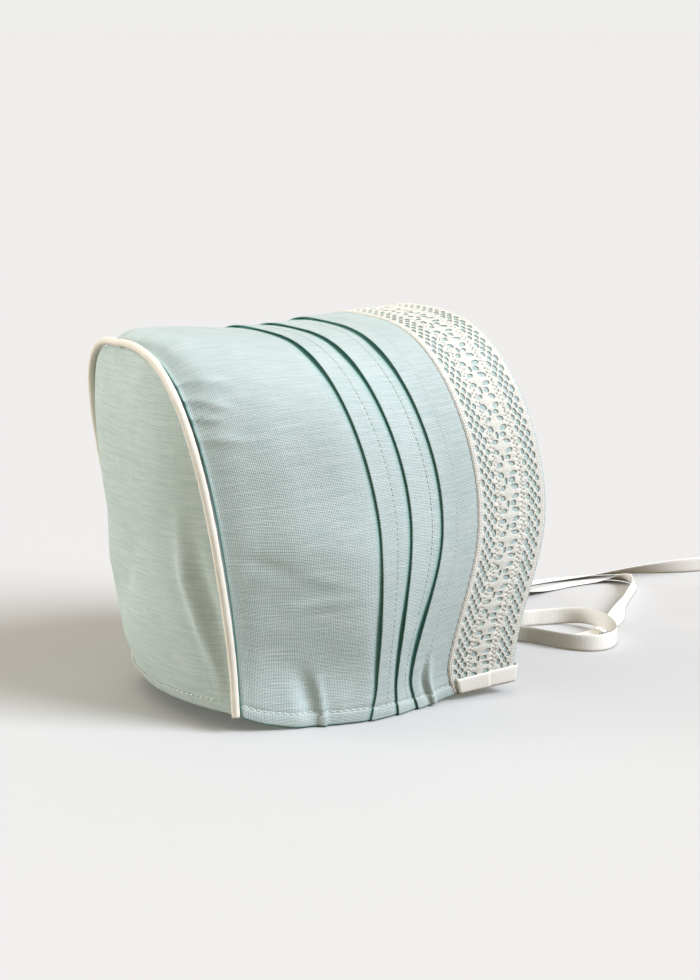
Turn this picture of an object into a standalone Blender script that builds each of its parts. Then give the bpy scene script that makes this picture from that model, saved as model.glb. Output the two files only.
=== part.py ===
"""A baby's linen bonnet, standing on its hem with the face opening towards -Y.

A wide side band runs from the back seam to the face opening and over the
crown.  A domed back panel closes the back inside a round piping.  Three
tucks are folded towards the back, a lace band edges the face opening, and
a satin ribbon is sewn on at each front corner.
"""
import math

import bmesh
import bpy
import numpy as np

# Driving sizes of the whole bonnet, in metres
HEM_LENGTH = 0.117
HALF_WIDTH = 0.062
CROWN_HEIGHT = 0.1425
SET_BACK = 0.020
HEM_LIFT = 0.005
BACK_HEM_Y = 0.0505

# Cloth
WALL = 0.0015
HEM_DEPTH = 0.0065
HEM_THICKENING = 0.0008
CLEARANCE = 0.0003
FACE_FOLD = 0.985
EDGE_ROUNDING = 0.25
BAND_BACK_STEPS = 5
BAND_FRONT_STEPS = 4
BAND_INNER_STEPS = 6

# Piping
PIPING_RADIUS = 0.0015
PIPING_SIDES = 8

# Back panel
BULGE_AT_HEM = 0.009
BULGE_AT_MIDDLE = 0.0135
PANEL_RINGS = 7
PANEL_HEM_STEPS = 12
BULGE_POWER = 2.6
PANEL_CENTRE_HEIGHT = 0.40
RIDGE_HEIGHT = 0.0022
RIDGE_WIDTH = 0.0055
RIDGE_FADE = 8

# Tucks
TUCK_STITCH = 0.0068
TUCK_THICKNESS = 0.0011
TUCK_NOTCH = 0.0026
TUCK_GAP = 0.0004
TUCK_GAPE = 0.0011
TUCK_CLEAR = 0.0006

# Lace
LACE_THICKNESS = 0.0009
LACE_MARGIN = 0.0012
LACE_MOTIFS = 34

# Ribbon
RIBBON_WIDTH = 0.007
RIBBON_THICKNESS = 0.0008
RIBBON_ABOVE_HEM = 0.0012
RIBBON_CORNER = 0.0004
RIBBON_END_STEPS = 6
ROUTE_STEP = 0.0065

# Form of the arch
SPRING = 0.50
LOW = 0.10
CROWN_POWER = 2.95
STATIONS = 27
DENSE = 160
DIRECTION_STEP = 0.004
SHARP_ANGLE = math.radians(40)

# Colours and roughness of the cloths
LINEN = ((0.52, 0.66, 0.65), 0.9)
SHADED_LINEN = ((0.48, 0.58, 0.53), 0.9)
PIPING_COTTON = ((0.83, 0.80, 0.72), 0.7)
LACE_COTTON = ((0.80, 0.78, 0.71), 0.85)
SATIN = ((0.82, 0.80, 0.74), 0.35)

# One row for each line across the bonnet, from the back seam to the face
# opening.  along: share of HEM_LENGTH.  hem and side: shares of HALF_WIDTH.
# crown: share of CROWN_HEIGHT.  low, spring and top: how far the line sits
# back at those heights, shares of SET_BACK.  lift: share of HEM_LIFT.
SECTION_COLUMNS = ("along", "hem", "side", "crown", "low", "spring", "top", "lift")
SECTIONS = {
    "back_seam": (0.00, 0.68, 0.71, 0.985, 0.05, 0.42, 1.13, 1.3),
    "back_pleat": (0.10, 0.735, 0.80, 1.01, 0.05, 0.33, 1.08, 0.45),
    "side_middle": (0.22, 0.79, 0.90, 1.005, 0.00, 0.20, 0.98, 0.0),
    "tuck_back": (0.43, 0.86, 0.99, 0.99, -0.09, 0.05, 0.82, 0.0),
    "tuck_middle": (0.54, 0.835, 0.975, 0.99, 0.10, 0.00, 0.75, 0.0),
    "tuck_front": (0.63, 0.79, 0.955, 1.00, 0.24, -0.20, 0.57, 0.0),
    "lace_edge": (0.78, 0.755, 0.95, 1.01, 0.25, -0.12, 0.58, 0.4),
    "face_edge": (1.00, 0.79, 0.935, 1.02, 0.00, -0.42, 0.36, 0.8),
}
TUCKS = ("tuck_back", "tuck_middle", "tuck_front")

# Outer outline of one tuck, folded edge first.  notch and stitch: distance in
# front of the folded edge, shares of TUCK_NOTCH and TUCK_STITCH.  gap,
# thickness and gape: height over the band, shares of those sizes.
TUCK_COLUMNS = ("notch", "stitch", "gap", "thickness", "gape")
TUCK_OUTLINE = (
    (1.00, 0.00, 0.0, 0.0, 0.0),
    (1.00, 0.00, 1.0, 0.0, 0.0),
    (0.12, 0.00, 1.0, 0.0, 1.0),
    (0.00, 0.00, 1.0, 0.5, 1.0),
    (0.15, 0.00, 1.0, 1.0, 1.0),
    (1.00, 0.00, 1.0, 1.0, 0.6),
    (0.00, 1.00, 0.0, 1.0, 0.0),
    (0.00, 1.12, 0.0, 0.0, 0.0),
)

# Where the free edges of the tucks stand open.  turn: share of the way from
# the hem to the crown.  gape: share of TUCK_GAPE.
GAPE_COLUMNS = ("turn", "gape")
GAPES = (
    (0.00, 0.0),
    (0.05, 0.1),
    (0.20, 0.8),
    (0.42, 0.3),
    (0.62, 0.5),
    (0.76, 1.0),
    (0.88, 0.4),
    (1.00, 0.2),
)

# Soft ridge in the back panel beside the near seam.  across: share of the
# half-width from the middle.  up: share of the panel's height.
RIDGE_COLUMNS = ("across", "up", "height")
RIDGE = (
    (-0.62, 0.50, 0.0),
    (-0.60, 0.40, 0.7),
    (-0.68, 0.24, 1.0),
    (-0.80, 0.10, 0.6),
    (-0.86, 0.02, 0.0),
)

# Columns of the lace across its width.  Shares of the lace's width, and
# whether the column is pierced.
LACE_COLUMNS = (
    ("back_footing", 0.00, 0.10, False),
    ("back_net", 0.10, 0.38, True),
    ("chain", 0.38, 0.64, True),
    ("front_net", 0.64, 0.91, True),
    ("front_footing", 0.91, 1.00, False),
)
LACE_HOLE = 0.74

# Routes of the two free ribbons, chosen by hand, in metres.  above: height
# of the ribbon's lower edge over the surface.  lie: how far the ribbon leans
# from standing on its edge (0) to lying flat (90), in degrees.
ROUTE_COLUMNS = ("x", "y", "above", "lie")
TIE_RIGHT_ROUTE = (
    (-0.0475, -0.0674, 0.0057, 0),
    (-0.0440, -0.0676, 0.0063, 0),
    (-0.0385, -0.0685, 0.0050, 5),
    (-0.0310, -0.0705, 0.0016, 20),
    (-0.0220, -0.0725, 0.0003, 50),
    (-0.0120, -0.0740, 0.0001, 80),
    (0.0000, -0.0755, 0.0001, 90),
    (0.0140, -0.0775, 0.0001, 90),
    (0.0280, -0.0805, 0.0001, 90),
    (0.0420, -0.0855, 0.0001, 90),
    (0.0560, -0.0935, 0.0001, 90),
    (0.0690, -0.1055, 0.0001, 90),
    (0.0800, -0.1215, 0.0001, 90),
    (0.0870, -0.1405, 0.0001, 90),
    (0.0910, -0.1605, 0.0001, 90),
    (0.0920, -0.1805, 0.0001, 88),
    (0.0890, -0.1995, 0.0001, 80),
    (0.0840, -0.2165, 0.0001, 60),
    (0.0780, -0.2325, 0.0001, 35),
    (0.0735, -0.2485, 0.0001, 12),
    (0.0710, -0.2625, 0.0001, 5),
    (0.0700, -0.2745, 0.0001, 0),
)
TIE_LEFT_ROUTE = (
    (0.0475, -0.0674, 0.0057, 0),
    (0.0440, -0.0676, 0.0063, 0),
    (0.0385, -0.0705, 0.0052, 0),
    (0.0335, -0.0765, 0.0028, 0),
    (0.0300, -0.0835, 0.0020, 0),
    (0.0265, -0.0905, 0.0013, 0),
    (0.0190, -0.1025, 0.0002, 0),
    (0.0095, -0.1125, 0.0001, 0),
    (-0.0030, -0.1180, 0.0001, 0),
    (-0.0120, -0.1230, 0.0001, 0),
    (-0.0170, -0.1295, 0.0001, 0),
    (-0.0170, -0.1375, 0.0001, 0),
    (-0.0120, -0.1445, 0.0005, 0),
    (-0.0030, -0.1490, 0.0013, 0),
    (0.0080, -0.1510, 0.0016, 0),
    (0.0180, -0.1495, 0.0013, 0),
    (0.0250, -0.1435, 0.0005, 0),
    (0.0290, -0.1345, 0.0001, 0),
    (0.0315, -0.1255, 0.0001, 0),
    (0.0370, -0.1180, 0.0001, 0),
    (0.0450, -0.1150, 0.0001, 0),
    (0.0540, -0.1185, 0.0001, 0),
    (0.0610, -0.1275, 0.0001, 10),
    (0.0670, -0.1395, 0.0001, 30),
    (0.0720, -0.1525, 0.0001, 60),
    (0.0765, -0.1655, 0.0001, 82),
    (0.0795, -0.1775, 0.0001, 90),
    (0.0810, -0.1895, 0.0001, 90),
    (0.0795, -0.2015, 0.0001, 85),
    (0.0735, -0.2100, 0.0001, 60),
    (0.0630, -0.2100, 0.0001, 28),
    (0.0520, -0.2020, 0.0001, 5),
    (0.0430, -0.1930, 0.0001, 0),
    (0.0340, -0.1840, 0.0001, 0),
    (0.0260, -0.1765, 0.0001, 15),
    (0.0190, -0.1685, 0.0001, 45),
    (0.0135, -0.1605, 0.0001, 80),
    (0.0090, -0.1525, 0.0001, 90),
    (0.0055, -0.1435, 0.0001, 90),
    (0.0050, -0.1355, 0.0001, 90),
    (0.0085, -0.1280, 0.0001, 90),
    (0.0140, -0.1225, 0.0001, 90),
)


def section_column(name):
    """The values of one column, in the order of the table's rows."""
    i = SECTION_COLUMNS.index(name)
    return np.array([row[i] for row in SECTIONS.values()])


def smooth(xs, ys, at):
    """A smooth curve through the given values that does not overshoot."""
    xs = np.asarray(xs, float)
    ys = np.asarray(ys, float)
    at = np.clip(np.asarray(at, float), xs[0], xs[-1])
    step = np.diff(xs)
    rise = np.diff(ys) / step
    slope = np.zeros_like(ys)
    slope[0] = rise[0]
    slope[-1] = rise[-1]
    for i in range(1, len(xs) - 1):
        if rise[i - 1] * rise[i] > 0:
            slope[i] = 2 * rise[i - 1] * rise[i] / (rise[i - 1] + rise[i])
    k = np.clip(np.searchsorted(xs, at, side="right") - 1, 0, len(xs) - 2)
    t = (at - xs[k]) / step[k]
    a = (1 + 2 * t) * (1 - t) ** 2
    b = t * (1 - t) ** 2 * step[k]
    c = t * t * (3 - 2 * t)
    d = t * t * (t - 1) * step[k]
    return a * ys[k] + b * slope[k] + c * ys[k + 1] + d * slope[k + 1]


ARCHES = {}


def arch(along):
    """Half of the line across the bonnet: hem to crown on the -X side."""
    key = round(along, 9)
    if key in ARCHES:
        return ARCHES[key]
    at = section_column("along")
    sizes = {name: float(smooth(at, section_column(name), along)) for name in SECTION_COLUMNS}
    height = sizes["crown"] * CROWN_HEIGHT
    spring_height = SPRING * height
    side = sizes["side"] * HALF_WIDTH
    hem = sizes["hem"] * HALF_WIDTH
    lift = sizes["lift"] * HEM_LIFT
    rise = np.linspace(0.0, 1.0, DENSE // 2, endpoint=False)
    lower_x = hem + (side - hem) * np.sin(rise * math.pi / 2)
    lower_z = lift + (spring_height - lift) * rise
    angle = np.linspace(0.0, math.pi / 2, DENSE)
    power = 2.0 / CROWN_POWER
    upper_x = side * np.abs(np.cos(angle)) ** power
    upper_z = spring_height + (height - spring_height) * np.sin(angle) ** power
    upper_x[-1] = 0.0
    x = -np.concatenate([lower_x, upper_x])
    z = np.concatenate([lower_z, upper_z])
    heights = (lift, lift + LOW * height, spring_height, height)
    back = smooth(heights, (0.0, sizes["low"], sizes["spring"], sizes["top"]), z)
    y = BACK_HEM_Y - along * HEM_LENGTH + SET_BACK * back
    points = np.stack([x, y, z], axis=1)
    steps = np.linalg.norm(np.diff(points, axis=0), axis=1)
    distance = np.concatenate([[0.0], np.cumsum(steps)])
    ARCHES[key] = (points, distance)
    return ARCHES[key]


def arch_length(along):
    """From the hem to the crown, along the line across the bonnet."""
    return arch(along)[1][-1]


def surface(along, turn):
    """A point of the bonnet's outer form.  turn: 0 near hem, 1 crown, 2 far hem."""
    points, distance = arch(min(max(along, 0.0), 1.0))
    share = min(max(1.0 - abs(1.0 - turn), 0.0), 1.0)
    want = share * distance[-1]
    point = np.array([np.interp(want, distance, points[:, i]) for i in range(3)])
    if turn > 1.0:
        point[0] = -point[0]
    return point


def directions(along, turn):
    """Unit vectors at a point of the form: forward, and straight out."""
    a0 = max(along - DIRECTION_STEP, 0.0)
    a1 = min(along + DIRECTION_STEP, 1.0)
    t0 = max(turn - DIRECTION_STEP, 0.0)
    t1 = min(turn + DIRECTION_STEP, 2.0)
    forward = surface(a1, turn) - surface(a0, turn)
    around = surface(along, t1) - surface(along, t0)
    out = np.cross(forward, around)
    if turn in (0.0, 2.0):
        out[2] = 0.0
        forward[2] = 0.0
    return forward / np.linalg.norm(forward), out / np.linalg.norm(out)


def place(distance, turn, offset):
    """The point at a distance from the back seam and an offset off the form."""
    along = min(max(distance / HEM_LENGTH, 0.0), 1.0)
    forward, out = directions(along, turn)
    beyond = distance - along * HEM_LENGTH
    return surface(along, turn) + beyond * forward + offset * out


def turn_at(along, height):
    """The turn reached by going a short way up from the near hem."""
    return height / arch_length(along)


def station_turns():
    """Turns of the rings of the band: the hem's rings, then even steps."""
    hem = turn_at(0.5, HEM_DEPTH)
    half = [0.0, hem] + list(np.linspace(hem, 1.0, STATIONS)[1:])
    return half + [2.0 - t for t in reversed(half[:-1])]


def gape(turn):
    """How far the tucks' free edges stand off at this turn, in metres."""
    share = 1.0 - abs(1.0 - turn)
    turns = [row[GAPE_COLUMNS.index("turn")] for row in GAPES]
    values = [row[GAPE_COLUMNS.index("gape")] for row in GAPES]
    return TUCK_GAPE * float(smooth(turns, values, share))


def material(name, finish):
    """A plain Principled material in the piece's own colour."""
    colour, roughness = finish
    made = bpy.data.materials.new(name)
    made.use_nodes = True
    shader = made.node_tree.nodes["Principled BSDF"]
    shader.inputs["Base Color"].default_value = (*colour, 1.0)
    shader.inputs["Roughness"].default_value = roughness
    return made


def add_object(name, points, faces, finish):
    """One closed body from points and faces, with its faces turned out."""
    mesh = bpy.data.meshes.new(name)
    mesh.from_pydata([tuple(float(c) for c in p) for p in points], [], faces)
    body = bmesh.new()
    body.from_mesh(mesh)
    bmesh.ops.recalc_face_normals(body, faces=body.faces[:])
    bmesh.ops.triangulate(body, faces=[f for f in body.faces if len(f.verts) > 4])
    body.to_mesh(mesh)
    body.free()
    mesh.shade_smooth()
    mesh.set_sharp_from_angle(angle=SHARP_ANGLE)
    mesh.materials.append(finish)
    made = bpy.data.objects.new(name, mesh)
    bpy.context.collection.objects.link(made)
    return made


def sweep(rings):
    """Points and faces of a closed body through rings of equal length."""
    count = len(rings[0])
    points = [p for ring in rings for p in ring]
    faces = []
    for r in range(len(rings) - 1):
        for i in range(count):
            j = (i + 1) % count
            faces.append((r * count + i, r * count + j, (r + 1) * count + j, (r + 1) * count + i))
    faces.append(tuple(range(count)))
    last = (len(rings) - 1) * count
    faces.append(tuple(last + i for i in range(count)))
    return points, faces


def tuck_profile(start, lift):
    """Outer points of one tuck, folded edge first: distance and offset."""
    made = []
    for notch, stitch, gap, thickness, open_share in TUCK_OUTLINE:
        distance = start + notch * TUCK_NOTCH + stitch * TUCK_STITCH
        made.append((distance, gap * TUCK_GAP + thickness * TUCK_THICKNESS + open_share * lift))
    return made


def band_profile(turn, in_hem):
    """The band's cut from the back seam to the face edge and back inside."""
    start = PIPING_RADIUS + CLEARANCE
    fold = FACE_FOLD * HEM_LENGTH
    lace = SECTIONS["lace_edge"][0] * HEM_LENGTH
    tucks = [SECTIONS[name][0] * HEM_LENGTH for name in TUCKS]
    outer = [(d, 0.0) for d in np.linspace(start, tucks[0] - TUCK_CLEAR, BAND_BACK_STEPS)]
    lift = gape(turn)
    for distance in tucks:
        outer += tuck_profile(distance, lift)
    outer += [(d, 0.0) for d in np.linspace(lace, fold, BAND_FRONT_STEPS)]
    thickness = WALL + (HEM_THICKENING if in_hem else 0.0)
    outer += [(HEM_LENGTH, -EDGE_ROUNDING * WALL), (HEM_LENGTH, (EDGE_ROUNDING - 1.0) * WALL)]
    inner = [(d, -thickness) for d in np.linspace(fold, start, BAND_INNER_STEPS)]
    return outer + inner


def side_band():
    """The wide piece of cloth over the crown, with its tucks and its hem."""
    turns = station_turns()
    hem_rings = (0, 1, len(turns) - 2, len(turns) - 1)
    rings = []
    for i, turn in enumerate(turns):
        rings.append([place(d, turn, o) for d, o in band_profile(turn, i in hem_rings)])
    linen = material("pale_blue_linen", LINEN)
    return add_object("side_band", *sweep(rings), linen)


def piping():
    """The round covered cord in the seam between band and back panel."""
    rings = []
    for turn in station_turns():
        centre = place(0.0, turn, 0.0)
        forward, out = directions(0.0, turn)
        ring = []
        for i in range(PIPING_SIDES):
            angle = 2 * math.pi * i / PIPING_SIDES
            arm = math.cos(angle) * forward + math.sin(angle) * out
            ring.append(centre + PIPING_RADIUS * arm)
        rings.append(ring)
    cotton = material("ivory_piping", PIPING_COTTON)
    return add_object("piping", *sweep(rings), cotton)


def panel_boundary():
    """The back panel's edge: up the near seam, down the far one, then the hem."""
    inset = PIPING_RADIUS + CLEARANCE
    seam = [place(0.0, turn, -inset) for turn in station_turns()]
    near = seam[0]
    hem = []
    for across in np.linspace(1.0, -1.0, PANEL_HEM_STEPS + 1)[1:-1]:
        bulge = BULGE_AT_HEM * (1.0 - across * across)
        hem.append(np.array([across * -near[0], near[1] + bulge, near[2]]))
    return seam, hem


def ridge_height(point, half_width):
    """Height of the soft ridge in the back panel at a point of it."""
    rows = np.array(RIDGE)
    line = np.stack([rows[:, 0] * half_width, rows[:, 1] * CROWN_HEIGHT], axis=1)
    best = None
    for i in range(len(line) - 1):
        run = line[i + 1] - line[i]
        share = np.clip(np.dot(point[[0, 2]] - line[i], run) / np.dot(run, run), 0.0, 1.0)
        gap = np.linalg.norm(point[[0, 2]] - line[i] - share * run)
        height = rows[i, 2] * (1.0 - share) + rows[i + 1, 2] * share
        if best is None or gap < best[0]:
            best = (gap, height)
    return RIDGE_HEIGHT * best[1] * math.exp(-((best[0] / RIDGE_WIDTH) ** 2))


def back_panel():
    """The domed back inside the piping, one thickness of cloth."""
    seam, hem = panel_boundary()
    edge = seam + hem
    middle_height = PANEL_CENTRE_HEIGHT * CROWN_HEIGHT
    nearest = min(seam[: len(seam) // 2], key=lambda p: abs(p[2] - middle_height))
    centre = np.array([0.0, nearest[1], middle_height])
    half_width = -nearest[0]
    outer = [centre + np.array([0.0, BULGE_AT_MIDDLE, 0.0])]
    for ring in range(1, PANEL_RINGS + 1):
        share = ring / PANEL_RINGS
        for point in edge:
            at = centre + share * (point - centre)
            at[1] += BULGE_AT_MIDDLE * (1.0 - share ** BULGE_POWER)
            at[1] += ridge_height(at, half_width) * (1.0 - share ** RIDGE_FADE)
            outer.append(at)
    count = len(edge)
    faces = []
    for i in range(count):
        faces.append((0, 1 + i, 1 + (i + 1) % count))
    for ring in range(PANEL_RINGS - 1):
        a = 1 + ring * count
        b = a + count
        for i in range(count):
            j = (i + 1) % count
            faces.append((a + i, b + i, b + j, a + j))
    normals = np.zeros((len(outer), 3))
    for face in faces:
        p = [outer[k] for k in face]
        turn = np.cross(p[1] - p[0], p[2] - p[0])
        if turn[1] < 0:
            turn = -turn
        for k in face:
            normals[k] += turn
    hem_start = 1 + (PANEL_RINGS - 1) * count + len(seam) - 1
    for k in list(range(hem_start, len(outer))) + [1 + (PANEL_RINGS - 1) * count]:
        normals[k][2] = 0.0
    normals /= np.linalg.norm(normals, axis=1)[:, None]
    inner = [p - WALL * n for p, n in zip(outer, normals)]
    total = len(outer)
    inner_faces = [tuple(total + k for k in reversed(face)) for face in faces]
    last = 1 + (PANEL_RINGS - 1) * count
    rim = []
    for i in range(count):
        j = (i + 1) % count
        rim.append((last + i, last + j, total + last + j, total + last + i))
    linen = material("shaded_blue_linen", SHADED_LINEN)
    return add_object("back_panel", outer + inner, faces + inner_faces + rim, linen)


def lace_band():
    """Bobbin lace over the face edge, pierced in three columns of gaps."""
    back = SECTIONS["lace_edge"][0] * HEM_LENGTH
    front = HEM_LENGTH - LACE_MARGIN
    first = turn_at(1.0, LACE_MARGIN)
    lines = np.linspace(first, 2.0 - first, 2 * LACE_MOTIFS + 1)
    points = []
    faces = []
    index = {}

    def vertex(share, line, side):
        """The point of the lace at a share of its width, on one of its faces."""
        key = (round(share, 6), round(line, 6), side)
        if key not in index:
            offset = CLEARANCE + side * LACE_THICKNESS
            distance = back + share * (front - back)
            index[key] = len(points)
            points.append(place(distance, float(np.interp(line, range(len(lines)), lines)), offset))
        return index[key]

    def both_faces(*corners):
        """The same flat on the lace's outer and inner face."""
        faces.append([vertex(s, t, 1) for s, t in corners])
        faces.append([vertex(s, t, 0) for s, t in reversed(corners)])

    def wall(a, b):
        """A wall through the lace's thickness between two corners."""
        faces.append([vertex(*a, 1), vertex(*b, 1), vertex(*b, 0), vertex(*a, 0)])

    for motif in range(LACE_MOTIFS):
        low, middle, high = 2 * motif, 2 * motif + 1, 2 * motif + 2
        for name, left, right, pierced in LACE_COLUMNS:
            if not pierced:
                both_faces((left, low), (right, low), (right, middle), (left, middle))
                both_faces((left, middle), (right, middle), (right, high), (left, high))
                continue
            half = 0.5 * LACE_HOLE * (right - left)
            centre = 0.5 * (left + right)
            hole = [
                (centre - half, middle),
                (centre, middle - LACE_HOLE),
                (centre + half, middle),
                (centre, middle + LACE_HOLE),
            ]
            both_faces((left, low), hole[0], (left, middle))
            both_faces((left, middle), hole[0], (left, high))
            both_faces((right, low), (right, middle), hole[2])
            both_faces((right, middle), (right, high), hole[2])
            both_faces((left, low), (right, low), hole[1])
            both_faces((left, high), hole[3], (right, high))
            both_faces((left, low), hole[1], hole[0])
            both_faces((right, low), hole[2], hole[1])
            both_faces((left, high), hole[0], hole[3])
            both_faces((right, high), hole[3], hole[2])
            for i in range(4):
                wall(hole[i], hole[(i + 1) % 4])
    for line in range(2 * LACE_MOTIFS):
        wall((0.0, line), (0.0, line + 1))
        wall((1.0, line), (1.0, line + 1))
    for name, left, right, pierced in LACE_COLUMNS:
        wall((left, 0), (right, 0))
        wall((left, 2 * LACE_MOTIFS), (right, 2 * LACE_MOTIFS))
    cotton = material("ivory_lace", LACE_COTTON)
    return add_object("lace_band", points, faces, cotton)


def ribbon_end(name, far):
    """A ribbon's end sewn on the lace, turned round the face edge."""
    over = 2 * CLEARANCE + LACE_THICKNESS + 0.5 * RIBBON_THICKNESS
    ahead = CLEARANCE + 0.5 * RIBBON_THICKNESS
    back = SECTIONS["lace_edge"][0] * HEM_LENGTH
    front = HEM_LENGTH
    sewn = np.linspace(back + 2 * LACE_MARGIN, front - RIBBON_CORNER, RIBBON_END_STEPS)
    path = [(d, over) for d in sewn]
    path += [
        (front + RIBBON_CORNER, over - RIBBON_CORNER),
        (front + ahead, over - 3 * RIBBON_CORNER),
        (front + ahead, -0.5 * WALL),
        (front + ahead, -WALL - CLEARANCE),
    ]
    low = turn_at(1.0, RIBBON_ABOVE_HEM)
    high = turn_at(1.0, RIBBON_ABOVE_HEM + RIBBON_WIDTH)
    rings = []
    for i, (distance, offset) in enumerate(path):
        before = path[max(i - 1, 0)]
        after = path[min(i + 1, len(path) - 1)]
        run = np.array([after[0] - before[0], after[1] - before[1]])
        run /= np.linalg.norm(run)
        half = 0.5 * RIBBON_THICKNESS
        ring = []
        for turn, side in ((low, 1), (high, 1), (high, -1), (low, -1)):
            t = 2.0 - turn if far else turn
            ring.append(place(distance - side * half * run[1], t, offset + side * half * run[0]))
        rings.append(ring)
    satin = material("ivory_satin_" + name, SATIN)
    return add_object(name, *sweep(rings), satin)


def curve_through(rows, step):
    """Rows of a smooth curve through the given rows, about one step apart."""
    rows = np.array(rows, float)
    ends = np.concatenate([[2 * rows[0] - rows[1]], rows, [2 * rows[-1] - rows[-2]]])
    made = []
    for i in range(len(rows) - 1):
        a, b, c, d = ends[i], ends[i + 1], ends[i + 2], ends[i + 3]
        count = max(1, round(float(np.linalg.norm((c - b)[:2])) / step))
        for k in range(count):
            t = k / count
            made.append(
                0.5 * (2 * b + (c - a) * t + (2 * a - 5 * b + 4 * c - d) * t * t
                       + (3 * b - a - 3 * c + d) * t ** 3)
            )
    made.append(rows[-1])
    return np.array(made)


def ribbon_tie(name, route):
    """A free satin ribbon along its route, one flat strip."""
    rows = curve_through(route, ROUTE_STEP)
    lean = np.radians(rows[:, 3])
    half_width = 0.5 * RIBBON_WIDTH
    half_thick = 0.5 * RIBBON_THICKNESS
    centre = rows[:, :3].copy()
    centre[:, 2] += half_width * np.cos(lean) + half_thick * np.sin(lean)
    rings = []
    for i, at in enumerate(centre):
        run = centre[min(i + 1, len(centre) - 1)] - centre[max(i - 1, 0)]
        run /= np.linalg.norm(run)
        side = np.cross(run, (0.0, 0.0, 1.0))
        side /= np.linalg.norm(side)
        wide = math.cos(lean[i]) * np.cross(side, run) + math.sin(lean[i]) * side
        thick = np.cross(run, wide)
        ring = []
        for w, t in ((-1, -1), (1, -1), (1, 1), (-1, 1)):
            ring.append(at + w * half_width * wide + t * half_thick * thick)
        rings.append(ring)
    satin = material("ivory_satin_" + name, SATIN)
    return add_object(name, *sweep(rings), satin)


def clear_scene():
    """Remove whatever the scene holds."""
    for item in list(bpy.data.objects):
        bpy.data.objects.remove(item, do_unlink=True)


def main():
    """Build every piece of the bonnet."""
    clear_scene()
    back_panel()
    side_band()
    piping()
    lace_band()
    ribbon_end("ribbon_end_right", False)
    ribbon_end("ribbon_end_left", True)
    ribbon_tie("ribbon_tie_right", TIE_RIGHT_ROUTE)
    ribbon_tie("ribbon_tie_left", TIE_LEFT_ROUTE)


main()
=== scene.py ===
"""A tucked linen baby bonnet with piping, a lace face edge and satin ribbon ties.

Distances are in metres.  A place on the bonnet is given by its distance from
the back seam, forwards, and its turn: 0 at the near hem, 1 at the crown and
2 at the far hem.
"""
import functools
import math

import bmesh
import bpy
import numpy as np
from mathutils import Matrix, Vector
from mathutils.geometry import delaunay_2d_cdt


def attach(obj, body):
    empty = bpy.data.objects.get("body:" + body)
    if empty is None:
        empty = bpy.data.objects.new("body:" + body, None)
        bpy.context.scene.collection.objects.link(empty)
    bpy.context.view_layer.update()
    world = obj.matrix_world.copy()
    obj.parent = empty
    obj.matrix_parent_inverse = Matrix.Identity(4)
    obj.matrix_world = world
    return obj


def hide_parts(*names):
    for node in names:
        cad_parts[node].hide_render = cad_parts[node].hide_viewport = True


bl_info = {
    "name": "Linen Bonnet",
    "version": (1, 0, 0),
    "blender": (4, 5, 0),
    "location": "View3D > Sidebar > Bonnet",
    "description": "Makes a tucked linen bonnet with piping, lace and ribbon ties",
    "category": "Object",
}

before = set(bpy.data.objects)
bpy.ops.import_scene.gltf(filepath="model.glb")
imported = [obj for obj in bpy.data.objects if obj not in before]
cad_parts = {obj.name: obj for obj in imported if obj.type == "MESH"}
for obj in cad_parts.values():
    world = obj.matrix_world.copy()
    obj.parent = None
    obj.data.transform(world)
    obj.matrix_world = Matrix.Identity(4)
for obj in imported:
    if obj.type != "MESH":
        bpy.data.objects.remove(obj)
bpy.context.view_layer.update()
BODY = "root"

# The bonnet's form
HEM_LENGTH = 0.117
HALF_WIDTH = 0.062
CROWN_HEIGHT = 0.1425
SET_BACK = 0.020
HEM_LIFT = 0.005
BACK_HEM_Y = 0.0505
SPRING = 0.50
LOW = 0.10
CROWN_POWER = 2.95
ALONG_STEPS = 234
TURN_STEPS = 680
BAND_STEPS = 130

# Cross sections
# along: share of HEM_LENGTH from the back seam.  hem and side: half the width
# at the hem and where the crown springs, shares of HALF_WIDTH.  crown: share of
# CROWN_HEIGHT.  low, spring and top: how far it leans back at LOW, SPRING and
# the top, shares of SET_BACK.  lift: the hem's share of HEM_LIFT.
SECTION_COLUMNS = ("along", "hem", "side", "crown", "low", "spring", "top", "lift")
SECTIONS = {
    "back_seam": (0.00, 0.68, 0.71, 0.985, 0.05, 0.42, 1.13, 1.3),
    "back_pleat": (0.10, 0.735, 0.80, 1.01, 0.05, 0.33, 1.08, 0.45),
    "side_middle": (0.22, 0.79, 0.90, 1.005, 0.00, 0.20, 0.98, 0.0),
    "tuck_back": (0.43, 0.86, 0.99, 0.99, -0.09, 0.05, 0.82, 0.0),
    "tuck_middle": (0.54, 0.835, 0.975, 0.99, 0.10, 0.00, 0.75, 0.0),
    "tuck_front": (0.63, 0.79, 0.955, 1.00, 0.24, -0.20, 0.57, 0.0),
    "lace_edge": (0.78, 0.755, 0.95, 1.01, 0.25, -0.12, 0.58, 0.4),
    "face_edge": (1.00, 0.79, 0.935, 1.02, 0.00, -0.42, 0.36, 0.8),
}
TUCKS = [SECTIONS[name][0] * HEM_LENGTH for name in ("tuck_back", "tuck_middle", "tuck_front")]
LACE_EDGE = SECTIONS["lace_edge"][0] * HEM_LENGTH

# Cloth and its hem
WALL = 0.0015
CLEARANCE = 0.0003
HEM_DEPTH = 0.0055
HEM_THICKENING = 0.0003
HEM_ROUND = 0.0012
# HEM_SHADE: how strongly painted shade darkens the hem's rounded underside
HEM_SHADE = 1.3

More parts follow.
